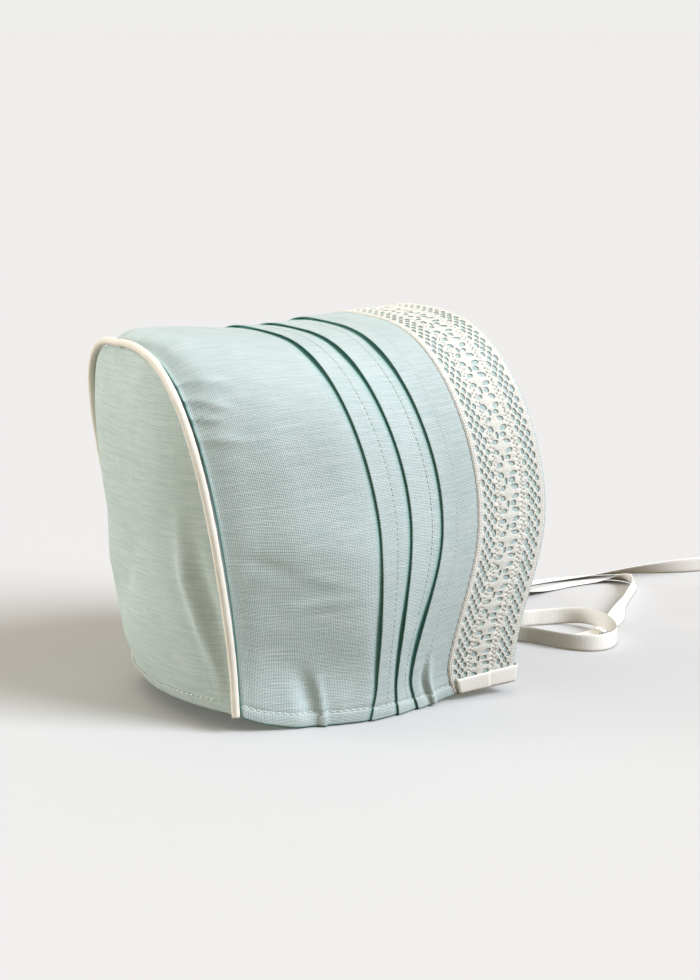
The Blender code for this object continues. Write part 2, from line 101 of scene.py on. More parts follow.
# Stitches
# STITCH_SHAPE: points along one stitch as shares of its length, with their rise
# and width as shares of its radius.  STITCH_GAP and TUCK_STITCH_GAP: the gaps
# between stitches as shares of the length.
STITCH_SHAPE = ((-0.5, -0.8, 0.6), (-0.35, 0.5, 1.0), (0.0, 0.9, 1.0), (0.35, 0.5, 1.0), (0.5, -0.8, 0.6))
STITCH_GAP = 0.6
TUCK_STITCH_GAP = 0.5
TUCK_STITCH_SHARE = 0.8
STITCH_SINK = 0.0003
STITCH_FINE = 0.0006
STITCH_START = 0.0025
STITCH_TWISTS = 1500.0
HEM_STITCH_RADIUS = 0.00020
TUCK_STITCH_RADIUS = 0.00013
BACK_STITCH_RADIUS = 0.00026

# Threads: the warp's height beside the weft's, and the twist of spun thread
WARP_HEIGHT = 0.85
TWISTS_ROUND = 900.0
THREAD_ROUND = 0.0011
STRAND_STEP = 0.01

# Piping, which ends a little before the far hem
# PIPING_UNEVEN: size, waves and start of each soft change of its radius.
PIPING_UNEVEN = ((0.02, 61.0, 0.0), (0.015, 143.0, 1.0))
PIPING_RADIUS = 0.0015
PIPING_SHORT = 0.0025
PIPING_SIDES = 20
PIPING_THREAD_PITCH = 0.00032
PIPING_STEPS = 420

# Back panel
BULGE_AT_HEM = 0.009
BULGE_AT_MIDDLE = 0.0135
BULGE_POWER = 2.6
PANEL_CENTRE_HEIGHT = 0.40
PANEL_BLUNT = 0.10
RIDGE_HEIGHT = 0.0022
RIDGE_WIDTH = 0.0027
FULLNESS_WIDTH = 0.020
PANEL_SEAM_STEPS = 220
PANEL_HEM_STEPS = 60
PANEL_RINGS = 60
PANEL_HEM_RINGS = 12
PANEL_SINK_WIDTH = 0.0007
PANEL_STITCH_LEVEL = 0.0006

# Tucks, and the hollows beside them and at the back seam
# TUCK_STITCH is the seam's distance from the folded edge, TUCK_RISE the edge's
# height, TUCK_NOTCH the depth of the fold under it and TUCK_GAPE how far it
# stands off at most.
TUCK_STITCH = 0.0068
TUCK_RISE = 0.0006
TUCK_ROUND = 0.00022
TUCK_NOTCH = 0.0030
TUCK_GAPE = 0.0005
TUCK_HOLLOW = 0.0003
TUCK_HOLLOW_WIDTH = 0.0018
TUCK_DIP = 0.0013
TUCK_DIP_WIDTH = 0.0040
# Width of the painted shade beside the piping and the tucks' folded edges
PAINTED_SHADE_WIDTH = 0.0010
SEAM_DIP = 0.0027
SEAM_DIP_WIDTH = 0.0064
SEAM_DIP_POWER = 0.4
TUCK_STITCH_LEVEL = 0.42 * TUCK_RISE
TUCK_SEAM_DEPTH = 0.0001
TUCK_SEAM_WIDTH = 0.00035

# How strongly painted shade darkens the cloth beside the piping and at the tucks' folded edges
PIPING_SHADE = 0.12
TUCK_SHADE = 0.75

# The band's turned edges
# SEAM_TURN: distance past the piping and offset.  FACE_TURN: share of
# HEM_LENGTH and offset as a share of WALL.
SEAM_TURN = ((0.0, -0.0021), (0.0001, -0.0017))
FACE_TURN = ((0.994, -0.08), (0.999, -0.3), (1.0, -0.5), (0.998, -0.75), (0.992, -0.95))

# Lace
# The sheet comes down to the cloth within LACE_MEETING of its edge, and the
# cloth under it has a painted shadow of the lace from LACE_SHADE_START on.
# RIM_TOP and RIM_LOW: the gaps' rims as shares of the thickness.  LACE_LINES:
# lines of points along it.
LACE_MARGIN = 0.0012
LACE_REPEATS = 41
LACE_STEPS = 8 * LACE_REPEATS
LACE_CLEARANCE = 0.00015
LACE_THICKNESS = 0.00028
LACE_BEVEL = 0.00016
LACE_MEETING = 0.0005
LACE_SHADE = 0.12
LACE_SHADE_START = 0.0015
LACE_WAVE = 0.00022
LACE_RIM = 0.0001
RIM_TOP = 0.75
RIM_LOW = 0.35
UNEVEN_SIZE = 0.09
UNEVEN_PLACE = 0.00005
LACE_END = 0.0004
LACE_LINES = (0.020, 0.055, 0.335, 0.362, 0.676, 0.708, 0.945, 0.980)
LACE_STRAND_ANGLE = 0.95
LACE_HUB = (0.435, 0.50)

# Cords along the lace's edges, as shares of its width
LACE_CORDS = (0.030, 0.058, 0.962, 0.988)
LACE_CORD_RADIUS = 0.00022
LACE_LEVEL = 0.0004
LACE_TWISTS = 900.0

# Ribbon
# RIBBON_LIFT: how high its sewn end starts.  RIBBON_FOLD and RIBBON_STEP: where
# the end's upper layer stops and how high it stands.  RIBBON_EDGE: where the
# firm edge starts and where it is full, from the middle.
RIBBON_WIDTH = 0.007
RIBBON_SOLID = 0.0008
RIBBON_LIFT = 0.0012
RIBBON_FOLD = 0.0105
RIBBON_STEP = 0.0003
RIBBON_EDGE = (0.0029, 0.0033)
RIBBON_COLUMNS = 8
RIBBON_POINT_STEP = 0.0012

# The ribbons' sewn ends
# Their level over the lace, how far from the lace's edge they start, how far
# they stand before the face edge, their corner there, and the fold's steepness.
# END_TIP: distance and offset of the first points, where the end turns under.
END_TIP = ((0.0002, -0.0004), (0.0, -0.0001), (0.0004, 0.0003))
END_LEVEL = 0.00055
END_BACK = 0.0024
END_AHEAD = 0.0004
END_CORNER = 0.0009
END_STEEP = 0.00012

# The camera's place, in metres and degrees, and its lens in millimetres
CAMERA_TARGET = (0.0, -0.0225, 0.076)
CAMERA_AZIMUTH = 239.5
CAMERA_ELEVATION = 11.5
CAMERA_DISTANCE = 0.90
CAMERA_LENS = 85.0

# The floor, and the lights: name, direction, spread in degrees and colour
FLOOR_RADIUS = 60.0
FLOOR_SIDES = 96
FLOOR_LEVEL = -0.0001
LIGHTS = (
    ("key", (-0.80, -0.52, 0.72), 29.0, (0.95, 0.99, 1.09)),
    ("fill", (0.55, 0.82, 0.03), 24.0, (1.0, 0.99, 0.95)),
    ("back", (0.25, 0.90, 0.45), 60.0, (1.0, 0.97, 0.92)),
)

# How far the tucks open
# turn: share of the way from the hem to the crown.  gape: share of TUCK_GAPE.
# dip: share of TUCK_DIP, the hollow beside the folded edge.
GAPE_COLUMNS = ("turn", "gape", "dip")
GAPES = (
    (0.00, 0.2, 0.00),
    (0.05, 0.3, 0.05),
    (0.12, 0.35, 0.35),
    (0.19, 0.4, 0.50),
    (0.27, 0.25, 0.25),
    (0.36, 0.3, 0.08),
    (0.55, 0.3, 0.10),
    (0.70, 0.4, 0.20),
    (0.80, 0.7, 0.40),
    (0.87, 0.6, 0.15),
    (1.00, 0.3, 0.00),
)

# Soft folds and dents of the band
# Columns: the distance and turn where each starts, the same where it ends, half
# its width, and its height over the cloth, below 0 for a dent.
FOLDS = (
    (0.0232, 0.120, 0.0276, 0.020, 0.0034, -0.0026),
    (0.0286, 0.105, 0.0330, -0.020, 0.0009, 0.0021),
    (0.0370, 0.080, 0.0380, 0.010, 0.0030, 0.0005),
    (0.0818, 0.110, 0.0816, -0.020, 0.0009, 0.0016),
    (0.0795, 0.120, 0.0792, 0.010, 0.0014, -0.0012),
    (0.0112, 0.185, 0.0230, 0.270, 0.0026, 0.0006),
    (0.0180, 0.266, 0.0420, 0.274, 0.0022, 0.0005),
    (0.0080, 0.125, 0.0480, 0.110, 0.0150, -0.0030),
    (0.0230, 0.335, 0.0400, 0.300, 0.0025, 0.0004),
    (0.0120, 0.400, 0.0500, 0.360, 0.0170, 0.0030),
    (0.0065, 0.370, 0.0232, 0.334, 0.0030, -0.0005),
    (0.0020, 0.775, 0.0180, 0.740, 0.0014, 0.0009),
    (0.0020, 0.735, 0.0137, 0.690, 0.0012, 0.0010),
    (0.0020, 0.690, 0.0110, 0.665, 0.0011, 0.0009),
    (0.0025, 0.640, 0.0150, 0.620, 0.0018, 0.0008),
    (0.0000, 1.050, 0.0100, 1.000, 0.0042, -0.0013),
    (0.0000, 0.890, 0.0120, 0.900, 0.0050, -0.0008),
    (0.0100, 0.400, 0.0400, 0.620, 0.0070, -0.0006),
    (0.0170, 0.700, 0.0450, 0.860, 0.0080, 0.0006),
    (0.0350, 1.970, 0.0345, 1.900, 0.0030, -0.0009),
    (0.0160, 1.820, 0.0440, 1.700, 0.0050, 0.0006),
    (0.0080, 1.500, 0.0380, 1.420, 0.0070, -0.0006),
)

# Soft ridge and hollow in the back panel beside the near seam
# Columns: share of the half-width from the middle, share of CROWN_HEIGHT, share
# of RIDGE_HEIGHT.
RIDGE = (
    (-0.740, 0.60, 0.0),
    (-0.705, 0.40, 0.8),
    (-0.780, 0.27, 1.0),
    (-0.880, 0.16, 0.8),
    (-0.930, 0.07, 0.0),
)
RIDGE_HOLLOW = (
    (-0.860, 0.58, 0.0),
    (-0.860, 0.42, -0.6),
    (-0.905, 0.30, -0.9),
    (-0.960, 0.20, 0.0),
)

# The back panel's fuller far side, in the same columns
PANEL_FULLNESS = (
    (0.740, 0.52, 0.2),
    (0.740, 0.38, 1.5),
    (0.700, 0.24, 1.2),
    (0.680, 0.12, 0.2),
)
PANEL_FOLDS = ((RIDGE, RIDGE_WIDTH), (RIDGE_HOLLOW, RIDGE_WIDTH), (PANEL_FULLNESS, FULLNESS_WIDTH))

# Gaps of the lace in one repeat
# Columns: the middle as shares of the lace's width and the repeat's height, the
# width and height in the same shares, how far the top leans forwards as a share
# of the width, and the point: 0 for an oval, 1 for a wedge towards LACE_HUB.
GAPS = (
    (0.404, 0.780, 0.084, 0.260, -0.2, 0.2),
    (0.584, 0.790, 0.108, 0.235, 0.3, 0.5),
    (0.466, 0.500, 0.042, 0.300, 0.0, 0.2),
    (0.548, 0.500, 0.090, 0.250, 0.0, 0.6),
    (0.412, 0.215, 0.084, 0.220, 0.2, 0.2),
    (0.586, 0.205, 0.102, 0.220, -0.3, 0.5),
)

# The nets on both sides of the motifs
# NETS: their columns as shares of the lace's width.  NET_GAP: the columns of
# GAPS from the width on, then the number of corners and how pointed they are.
NETS = ((0.110, 0.164, 0.218, 0.272), (0.768, 0.817, 0.866, 0.915))
NET_GAP = (0.064, 0.310, 0.0, 0.0, 10, 1.25)
NET_ROWS = 2

# Pinholes, in columns and rows like the nets
PIN_COLUMNS = (0.330, 0.362, 0.672, 0.704)
PIN_ROWS = 5
PIN_RADIUS = 0.00020
PIN_CORNERS = 6

# Routes of the two free ribbons
# Columns: x, y, the height of the ribbon's lower edge over the surface, and how
# far it leans, in degrees: 0 where it stands on its edge, 90 where it lies flat.
TIE_RIGHT_ROUTE = (
    (-0.0475, -0.0674, 0.0057, 0),
    (-0.0440, -0.0676, 0.0063, 0),
    (-0.0385, -0.0685, 0.0050, 5),
    (-0.0310, -0.0705, 0.0016, 20),
    (-0.0220, -0.0725, 0.0003, 50),
    (-0.0120, -0.0740, 0.0001, 80),
    (0.0000, -0.0755, 0.0001, 90),
    (0.0140, -0.0775, 0.0001, 90),
    (0.0280, -0.0805, 0.0001, 90),
    (0.0420, -0.0855, 0.0001, 90),
    (0.0560, -0.0935, 0.0001, 90),
    (0.0690, -0.1055, 0.0001, 90),
    (0.0800, -0.1215, 0.0001, 90),
    (0.0870, -0.1405, 0.0001, 90),
    (0.0910, -0.1605, 0.0001, 90),
    (0.0920, -0.1805, 0.0001, 88),
    (0.0890, -0.1995, 0.0001, 80),
    (0.0840, -0.2165, 0.0001, 60),
    (0.0780, -0.2325, 0.0001, 35),
    (0.0735, -0.2485, 0.0001, 12),
    (0.0710, -0.2625, 0.0001, 5),
    (0.0700, -0.2745, 0.0001, 0),
)
TIE_LEFT_ROUTE = (
    (0.0475, -0.0674, 0.0057, 0),
    (0.0440, -0.0676, 0.0063, 0),
    (0.0385, -0.0705, 0.0052, 0),
    (0.0335, -0.0765, 0.0028, 0),
    (0.0300, -0.0835, 0.0020, 0),
    (0.0265, -0.0905, 0.0013, 0),
    (0.0190, -0.1025, 0.0002, 0),
    (0.0095, -0.1125, 0.0001, 0),
    (-0.0030, -0.1180, 0.0001, 0),
    (-0.0120, -0.1230, 0.0001, 0),
    (-0.0170, -0.1295, 0.0001, 0),
    (-0.0170, -0.1375, 0.0001, 0),
    (-0.0120, -0.1445, 0.0005, 0),
    (-0.0030, -0.1490, 0.0013, 0),
    (0.0080, -0.1510, 0.0016, 0),
    (0.0180, -0.1495, 0.0013, 0),
    (0.0250, -0.1435, 0.0005, 0),
    (0.0290, -0.1345, 0.0001, 0),
    (0.0315, -0.1255, 0.0001, 0),
    (0.0370, -0.1180, 0.0001, 0),
    (0.0450, -0.1150, 0.0001, 0),
    (0.0540, -0.1185, 0.0001, 0),
    (0.0610, -0.1275, 0.0001, 10),
    (0.0670, -0.1395, 0.0001, 30),
    (0.0720, -0.1525, 0.0001, 60),
    (0.0765, -0.1655, 0.0001, 82),
    (0.0795, -0.1775, 0.0001, 90),
    (0.0810, -0.1895, 0.0001, 90),
    (0.0795, -0.2015, 0.0001, 85),
    (0.0735, -0.2100, 0.0001, 60),
    (0.0630, -0.2100, 0.0001, 28),
    (0.0520, -0.2020, 0.0001, 5),
    (0.0430, -0.1930, 0.0001, 0),
    (0.0340, -0.1840, 0.0001, 0),
    (0.0260, -0.1765, 0.0001, 15),
    (0.0190, -0.1685, 0.0001, 45),
    (0.0135, -0.1605, 0.0001, 80),
    (0.0090, -0.1525, 0.0001, 90),
    (0.0055, -0.1435, 0.0001, 90),
    (0.0050, -0.1355, 0.0001, 90),
    (0.0085, -0.1280, 0.0001, 90),
    (0.0140, -0.1225, 0.0001, 90),
)


def smooth(xs, ys, at):
    """A smooth curve through the given values that does not overshoot."""
    xs = np.asarray(xs, float)
    ys = np.asarray(ys, float)
    at = np.clip(np.asarray(at, float), xs[0], xs[-1])
    step = np.diff(xs)
    rise = np.diff(ys) / step
    slope = np.zeros_like(ys)
    slope[0] = rise[0]
    slope[-1] = rise[-1]
    for i in range(1, len(xs) - 1):
        if rise[i - 1] * rise[i] > 0:
            slope[i] = 2 * rise[i - 1] * rise[i] / (rise[i - 1] + rise[i])
    k = np.clip(np.searchsorted(xs, at, side="right") - 1, 0, len(xs) - 2)
    t = (at - xs[k]) / step[k]
    a = (1 + 2 * t) * (1 - t) ** 2
    b = t * (1 - t) ** 2 * step[k]
    c = t * t * (3 - 2 * t)
    d = t * t * (t - 1) * step[k]
    return a * ys[k] + b * slope[k] + c * ys[k + 1] + d * slope[k + 1]


def column(table, columns, name):
    """One named column of a table with rows of numbers."""
    rows = table.values() if isinstance(table, dict) else table
    return np.array([row[columns.index(name)] for row in rows])


def unit(vectors):
    """The vectors at length 1."""
    return vectors / np.maximum(np.linalg.norm(vectors, axis=-1, keepdims=True), 1e-12)


def run_of(line):
    """The way covered along a line at each of its points."""
    return np.concatenate([[0.0], np.cumsum(np.linalg.norm(np.diff(line, axis=0), axis=1))])


def at_steps(line, run, at):
    """Points of a line where the way along it is as given."""
    return np.stack([np.interp(at, run, line[:, i]) for i in range(3)], axis=1)


def half_arch(along):
    """Points of one line across the bonnet, hem to crown on the -X side."""
    at = column(SECTIONS, SECTION_COLUMNS, "along")
    size = {n: float(smooth(at, column(SECTIONS, SECTION_COLUMNS, n), along)) for n in SECTION_COLUMNS}
    height = size["crown"] * CROWN_HEIGHT
    spring = SPRING * height
    side = size["side"] * HALF_WIDTH
    hem = size["hem"] * HALF_WIDTH
    lift = size["lift"] * HEM_LIFT
    rise = np.linspace(0.0, 1.0, 160, endpoint=False)
    angle = np.linspace(0.0, math.pi / 2, 400)
    power = 2.0 / CROWN_POWER
    x = -np.concatenate([
        hem + (side - hem) * np.sin(rise * math.pi / 2),
        side * np.abs(np.cos(angle)) ** power,
    ])
    x[-1] = 0.0
    z = np.concatenate([
        lift + (spring - lift) * rise,
        spring + (height - spring) * np.sin(angle) ** power,
    ])
    heights = (lift, lift + LOW * height, spring, height)
    back = smooth(heights, (0.0, size["low"], size["spring"], size["top"]), z)
    return np.stack([x, BACK_HEM_Y - along * HEM_LENGTH + SET_BACK * back, z], axis=1)


def fold_height(distance, turn, length):
    """Height of the soft folds and dents at places of the band."""
    made = np.zeros(np.broadcast(distance, turn).shape)
    for da, ta, db, tb, width, height in FOLDS:
        run = np.array([db - da, (tb - ta) * length])
        x = distance - da
        y = (turn - ta) * length
        share = np.clip((x * run[0] + y * run[1]) / (run @ run), 0.0, 1.0)
        gap = np.hypot(x - share * run[0], y - share * run[1])
        made += height * np.exp(-((gap / width) ** 2)) * np.sin(math.pi * (0.1 + 0.8 * share))
    return made


class Form:
    """The bonnet's outer form on an even grid, with its folds."""

    def __init__(self):
        rows = []
        lengths = []
        shares = np.linspace(0.0, 1.0, TURN_STEPS // 2 + 1)
        for along in np.linspace(0.0, 1.0, ALONG_STEPS + 1):
            points = half_arch(along)
            run = run_of(points)
            half = at_steps(points, run, shares * run[-1])
            far = half[::-1][1:] * (-1.0, 1.0, 1.0)
            rows.append(np.concatenate([half, far]))
            lengths.append(run[-1])
        self.plain = np.array(rows)
        self.length = float(np.mean(lengths))
        distance = np.linspace(0.0, HEM_LENGTH, ALONG_STEPS + 1)[:, None]
        turn = np.linspace(0.0, 2.0, TURN_STEPS + 1)[None, :]
        forward, out = self.axes(self.plain)
        folds = fold_height(distance, turn, self.length)
        self.points = self.plain + folds[..., None] * out
        self.forward, self.out = self.axes(self.points)

    @staticmethod
    def axes(points):
        """Unit vectors forward and straight out at each point of the grid."""
        forward = np.gradient(points, axis=0)
        around = np.gradient(points, axis=1)
        out = np.cross(forward, around)
        for edge in (0, -1):
            out[:, edge, 2] = 0.0
            forward[:, edge, 2] = 0.0
        return unit(forward), unit(out)

    def at(self, grid, distance, turn):
        """Values of a grid at places, straight between its points."""
        i = np.clip(distance / HEM_LENGTH, 0.0, 1.0) * ALONG_STEPS
        j = np.clip(turn / 2.0, 0.0, 1.0) * TURN_STEPS
        a = np.minimum(i.astype(int), ALONG_STEPS - 1)
        b = np.minimum(j.astype(int), TURN_STEPS - 1)
        u = (i - a)[..., None]
        v = (j - b)[..., None]
        low = grid[a, b] * (1 - u) + grid[a + 1, b] * u
        high = grid[a, b + 1] * (1 - u) + grid[a + 1, b + 1] * u
        return low * (1 - v) + high * v

    def place(self, distance, turn, offset):
        """Points at places of the form, off it by an offset."""
        given = (np.asarray(v, float) for v in (distance, turn, offset))
        distance, turn, offset = np.broadcast_arrays(*given)
        beyond = distance - np.clip(distance, 0.0, HEM_LENGTH)
        made = self.at(self.points, distance, turn)
        made = made + beyond[..., None] * unit(self.at(self.forward, distance, turn))
        return made + offset[..., None] * self.outward(distance, turn)

    def outward(self, distance, turn):
        """Unit vectors straight out of the form at places."""
        return unit(self.at(self.out, np.asarray(distance, float), np.asarray(turn, float)))

    def turn_up(self, height):
        """The turn reached by going a short way up from the near hem."""
        return height / self.length


FORM = Form()


def gape_at(turn, name):
    """A column of the gapes' table at a turn on either side."""
    share = 1.0 - np.abs(1.0 - np.asarray(turn, float))
    return smooth(column(GAPES, GAPE_COLUMNS, "turn"), column(GAPES, GAPE_COLUMNS, name), share)


class Nodes:
    """A node tree being made, with short ways to add nodes to it."""

    def __init__(self, tree):
        self.tree = tree

    def add(self, kind, inputs=(), **settings):
        """A node with its settings, and its inputs set or linked by name or number."""
        node = self.tree.nodes.new("ShaderNode" + kind)
        for name, value in settings.items():
            setattr(node, name, value)
        for name, value in dict(inputs).items():
            self.feed(node.inputs[name], value)
        return node

    def feed(self, socket, value):
        """Links a socket to another one, or sets its value."""
        if isinstance(value, bpy.types.NodeSocket):
            self.tree.links.new(value, socket)
        elif socket.type == "RGBA":
            socket.default_value = (*value, 1.0)
        else:
            socket.default_value = value

    def maths(self, operation, *values, clamp=False):
        """The output of a Math node."""
        return self.add("Math", enumerate(values), operation=operation, use_clamp=clamp).outputs[0]

    def plus(self, a, b, clamp=False):
        """The sum of two values."""
        return self.maths("ADD", a, b, clamp=clamp)

    def times(self, a, b, clamp=False):
        """The product of two values."""
        return self.maths("MULTIPLY", a, b, clamp=clamp)

    def minus(self, a, b, clamp=False):
        """The first value less the second."""
        return self.maths("SUBTRACT", a, b, clamp=clamp)

    def noise(self, place, stretch, detail=2.0, roughness=0.5):
        """Noise at a place times a stretch on each axis."""
        scaled = self.add("VectorMath", {0: place, 1: stretch}, operation="MULTIPLY").outputs[0]
        inputs = {"Vector": scaled, "Scale": 1.0, "Detail": detail, "Roughness": roughness}
        return self.add("TexNoise", inputs).outputs["Fac"]

    def ramp(self, value, low, high):
        """0 below low and 1 above high, smooth between them."""
        inputs = {"Value": value, "From Min": low, "From Max": high}
        return self.add("MapRange", inputs, interpolation_type="SMOOTHSTEP").outputs["Result"]

    def mixed(self, share, a, b):
        """A colour between two colours."""
        node = self.add("Mix", data_type="RGBA")
        for socket, value in zip((node.inputs["Factor"], node.inputs[6], node.inputs[7]), (share, a, b)):
            self.feed(socket, value)
        return node.outputs[2]

    def split(self, place):
        """The three numbers of a vector."""
        return self.add("SeparateXYZ", {0: place}).outputs

    def effect(self, group, **inputs):
        """The outputs of a shared effect placed in this tree."""
        node = self.add("Group", node_tree=group)
        for name, value in inputs.items():
            self.feed(node.inputs[name.replace("_", " ")], value)
        return node.outputs


class Finish(Nodes):
    """A new material's nodes and its shader."""

    def __init__(self, name, roughness, sheen=0.0):
        self.material = bpy.data.materials.new(name)
        self.material.use_nodes = True
        super().__init__(self.material.node_tree)
        self.tree.nodes.clear()
        self.shader = self.add("BsdfPrincipled", {"Roughness": roughness, "Sheen Weight": sheen})
        self.add("OutputMaterial", {"Surface": self.shader.outputs["BSDF"]})

    def threads(self):
        """The threads' places that the mesh carries with its points."""
        return self.add("Attribute", attribute_name="threads").outputs["Vector"]

    def done(self, colour, height=None, depth=0.0):
        """The material with its colour, and a height as its bump."""
        self.feed(self.shader.inputs["Base Color"], colour)
        if height is not None:
            bump = self.add("Bump", {"Height": height, "Distance": depth, "Strength": 1.0})
            self.feed(self.shader.inputs["Normal"], bump.outputs["Normal"])
        return self.material


def new_effect(name, inputs, outputs):
    """An empty shared effect: its nodes, its inputs, and its output node's inputs."""
    group = bpy.data.node_groups.new(name, "ShaderNodeTree")
    for label, default in inputs.items():
        kind = "NodeSocketVector" if default is None else "NodeSocketFloat"
        socket = group.interface.new_socket(name=label, in_out="INPUT", socket_type=kind)
        if default is not None:
            socket.default_value = default
    for label in outputs:
        group.interface.new_socket(name=label, in_out="OUTPUT", socket_type="NodeSocketFloat")
    nodes = Nodes(group)
    given = group.nodes.new("NodeGroupInput").outputs
    return nodes, given, group.nodes.new("NodeGroupOutput").inputs


@functools.cache
def woven_threads():
    """Plain weave with uneven threads, from thread places in metres."""
    inputs = {"Threads": None, "Threads per metre": 2000.0, "Unevenness": 0.4}
    nodes, given, result = new_effect("Woven threads", inputs, ["Height", "Tint"])
    scaled = nodes.add("VectorMath", {0: given["Threads"]}, operation="SCALE")
    nodes.feed(scaled.inputs["Scale"], given["Threads per metre"])
    place = scaled.outputs[0]
    split = nodes.split(place)
    waves = []
    for axis, stretch in ((0, (0.30, 0.06, 0.3)), (1, (0.06, 0.30, 0.3))):
        uneven = nodes.times(nodes.noise(place, stretch, 1.0), given["Unevenness"])
        waves.append(nodes.maths("SINE", nodes.times(nodes.plus(split[axis], uneven), math.pi)))
    over = nodes.maths("MULTIPLY_ADD", nodes.times(*waves), 0.5, 0.5)
    under = nodes.minus(1.0, over)
    warp = nodes.times(nodes.maths("ABSOLUTE", waves[0]), nodes.times(over, WARP_HEIGHT))
    weft = nodes.times(nodes.maths("ABSOLUTE", waves[1]), under)
    nodes.feed(result["Height"], nodes.maths("MAXIMUM", warp, weft))
    tints = [
        nodes.times(nodes.noise(place, stretch, 1.0), share)
        for stretch, share in (((0.9, 0.05, 0.5), 0.25), ((0.05, 0.9, 0.5), 0.75))
    ]
    nodes.feed(result["Tint"], nodes.plus(*tints))
    return nodes.tree


@functools.cache
def slubs():
    """Thick places in the threads: long soft streaks both ways."""
    inputs = {"Threads": None, "Amount": 0.5}
    nodes, given, result = new_effect("Slubs", inputs, ["Streaks", "Cloudiness"])
    place = given["Threads"]
    front_back = nodes.ramp(nodes.noise(place, (50.0, 1500.0, 90.0), 1.0), 0.58, 0.76)
    up_down = nodes.ramp(nodes.noise(place, (1700.0, 60.0, 90.0), 1.0), 0.66, 0.84)
    both = nodes.plus(front_back, nodes.times(up_down, 0.3))
    nodes.feed(result["Streaks"], nodes.times(both, given["Amount"], clamp=True))
    nodes.feed(result["Cloudiness"], nodes.noise(place, (55.0, 60.0, 40.0), 3.0, 0.6))
    return nodes.tree


@functools.cache
def spun_thread():
    """Twisted strands along a thread, from places in metres along and round it."""
    inputs = {"Threads": None, "Twists per metre": 1400.0}
    nodes, given, result = new_effect("Spun thread", inputs, ["Height", "Tint"])
    split = nodes.split(given["Threads"])
    along = nodes.times(split[0], given["Twists per metre"])
    turned = nodes.plus(along, nodes.times(split[1], TWISTS_ROUND))
    wave = nodes.maths("SINE", nodes.times(turned, 2 * math.pi))
    nodes.feed(result["Height"], nodes.maths("MULTIPLY_ADD", wave, 0.5, 0.5))
    nodes.feed(result["Tint"], nodes.noise(given["Threads"], (600.0, 900.0, 300.0)))
    return nodes.tree


def linen_finish(name, painted_light_factor=(1.0, 1.0, 1.0), slub_share=1.0):
    """Pale blue linen: plain weave, slubs, a soft heathered colour, painted shade, and painted light
    through painted_light_factor.
    """
    sizes = bpy.context.scene.bonnet_linen
    # painted_light_factor scales every colour: above 1 the cloth is painted lighter, standing in for
    # light
    colour, deep, pale = (
        [c * w for c, w in zip(given, painted_light_factor)]
        for given in (sizes.colour, sizes.deep_colour, sizes.slub_colour)
    )
    cloth = Finish(name, 0.88, 0.10)
    places = cloth.threads()
    weave = cloth.effect(woven_threads(), Threads=places, Threads_per_metre=1.0 / sizes.thread_pitch)
    slub = cloth.effect(slubs(), Threads=places, Amount=sizes.slubs * slub_share)
    cloud = cloth.times(cloth.ramp(slub["Cloudiness"], 0.3, 0.75), 0.2)
    heather = cloth.minus(cloth.ramp(weave["Tint"], 0.24, 0.72), cloud, clamp=True)
    base = cloth.mixed(heather, deep, colour)
    light = cloth.mixed(cloth.times(slub["Streaks"], 0.8), base, pale)
    # Painted shade in the weave's hollows, darker where the threads lie lower
    hollow = cloth.times(cloth.minus(1.0, weave["Height"]), 0.36)
    base = cloth.mixed(hollow, light, [0.45 * c for c in deep])
    # Painted shade: this attribute mixes the cloth towards a dark teal in the folds, along the hems and
    # under the lace
    crease = cloth.add("Attribute", attribute_name="crease").outputs["Fac"]
    base = cloth.mixed(crease, base, sizes.painted_shade_colour)
    height = cloth.plus(weave["Height"], cloth.times(slub["Streaks"], 0.35))
    return cloth.done(base, height, 0.00022)


def cotton_finish():
    """Ivory cotton cloth over the piping."""
    sizes = bpy.context.scene.bonnet_piping
    cloth = Finish("bonnet_piping_cotton", 0.8)
    places = cloth.threads()
    weave = cloth.effect(woven_threads(), Threads=places, Threads_per_metre=1.0 / PIPING_THREAD_PITCH)
    slub = cloth.effect(slubs(), Threads=places, Amount=0.3)
    share = cloth.times(cloth.ramp(slub["Cloudiness"], 0.35, 0.7), 0.5)
    return cloth.done(cloth.mixed(share, sizes.colour, sizes.deep_colour), weave["Height"], 0.00008)


def thread_finish(name, colour, deep, twists):
    """Spun cotton thread, for the lace's cords and the stitches."""
    cotton = Finish(name, 0.85)
    places = cotton.threads()
    spun = cotton.effect(spun_thread(), Threads=places, Twists_per_metre=twists)
    # Painted shade between the twisted strands, where the thread lies lower, with a random tint added
    dark = cotton.times(cotton.minus(1.0, spun["Height"]), 0.35)
    shade = cotton.plus(dark, cotton.times(spun["Tint"], 0.3), clamp=True)
    return cotton.done(cotton.mixed(shade, colour, deep), spun["Height"], 0.00012)


def lace_finish():
    """Ivory cotton lace: crossing strands, with painted shade in the hollows between them and darker
    specks.
    """
    sizes = bpy.context.scene.bonnet_lace
    lace = Finish("bonnet_lace_cotton", 0.85, 0.1)
    places = lace.threads()
    inputs = {"Vector": places, "Angle": LACE_STRAND_ANGLE}
    turned = lace.add("VectorRotate", inputs, rotation_type="Z_AXIS").outputs[0]
    strands = lace.effect(
        woven_threads(), Threads=turned, Threads_per_metre=1.0 / sizes.thread_width, Unevenness=2.0,
    )
    # Painted shade between the strands, where they lie lower
    hollow = lace.times(lace.minus(1.0, strands["Height"]), 0.65)
    specks = lace.times(lace.ramp(lace.noise(places, (1900.0, 1900.0, 1900.0), 1.0), 0.42, 0.66), 0.6)
    share = lace.plus(hollow, specks, clamp=True)
    return lace.done(lace.mixed(share, sizes.colour, sizes.deep_colour), strands["Height"], 0.00013)


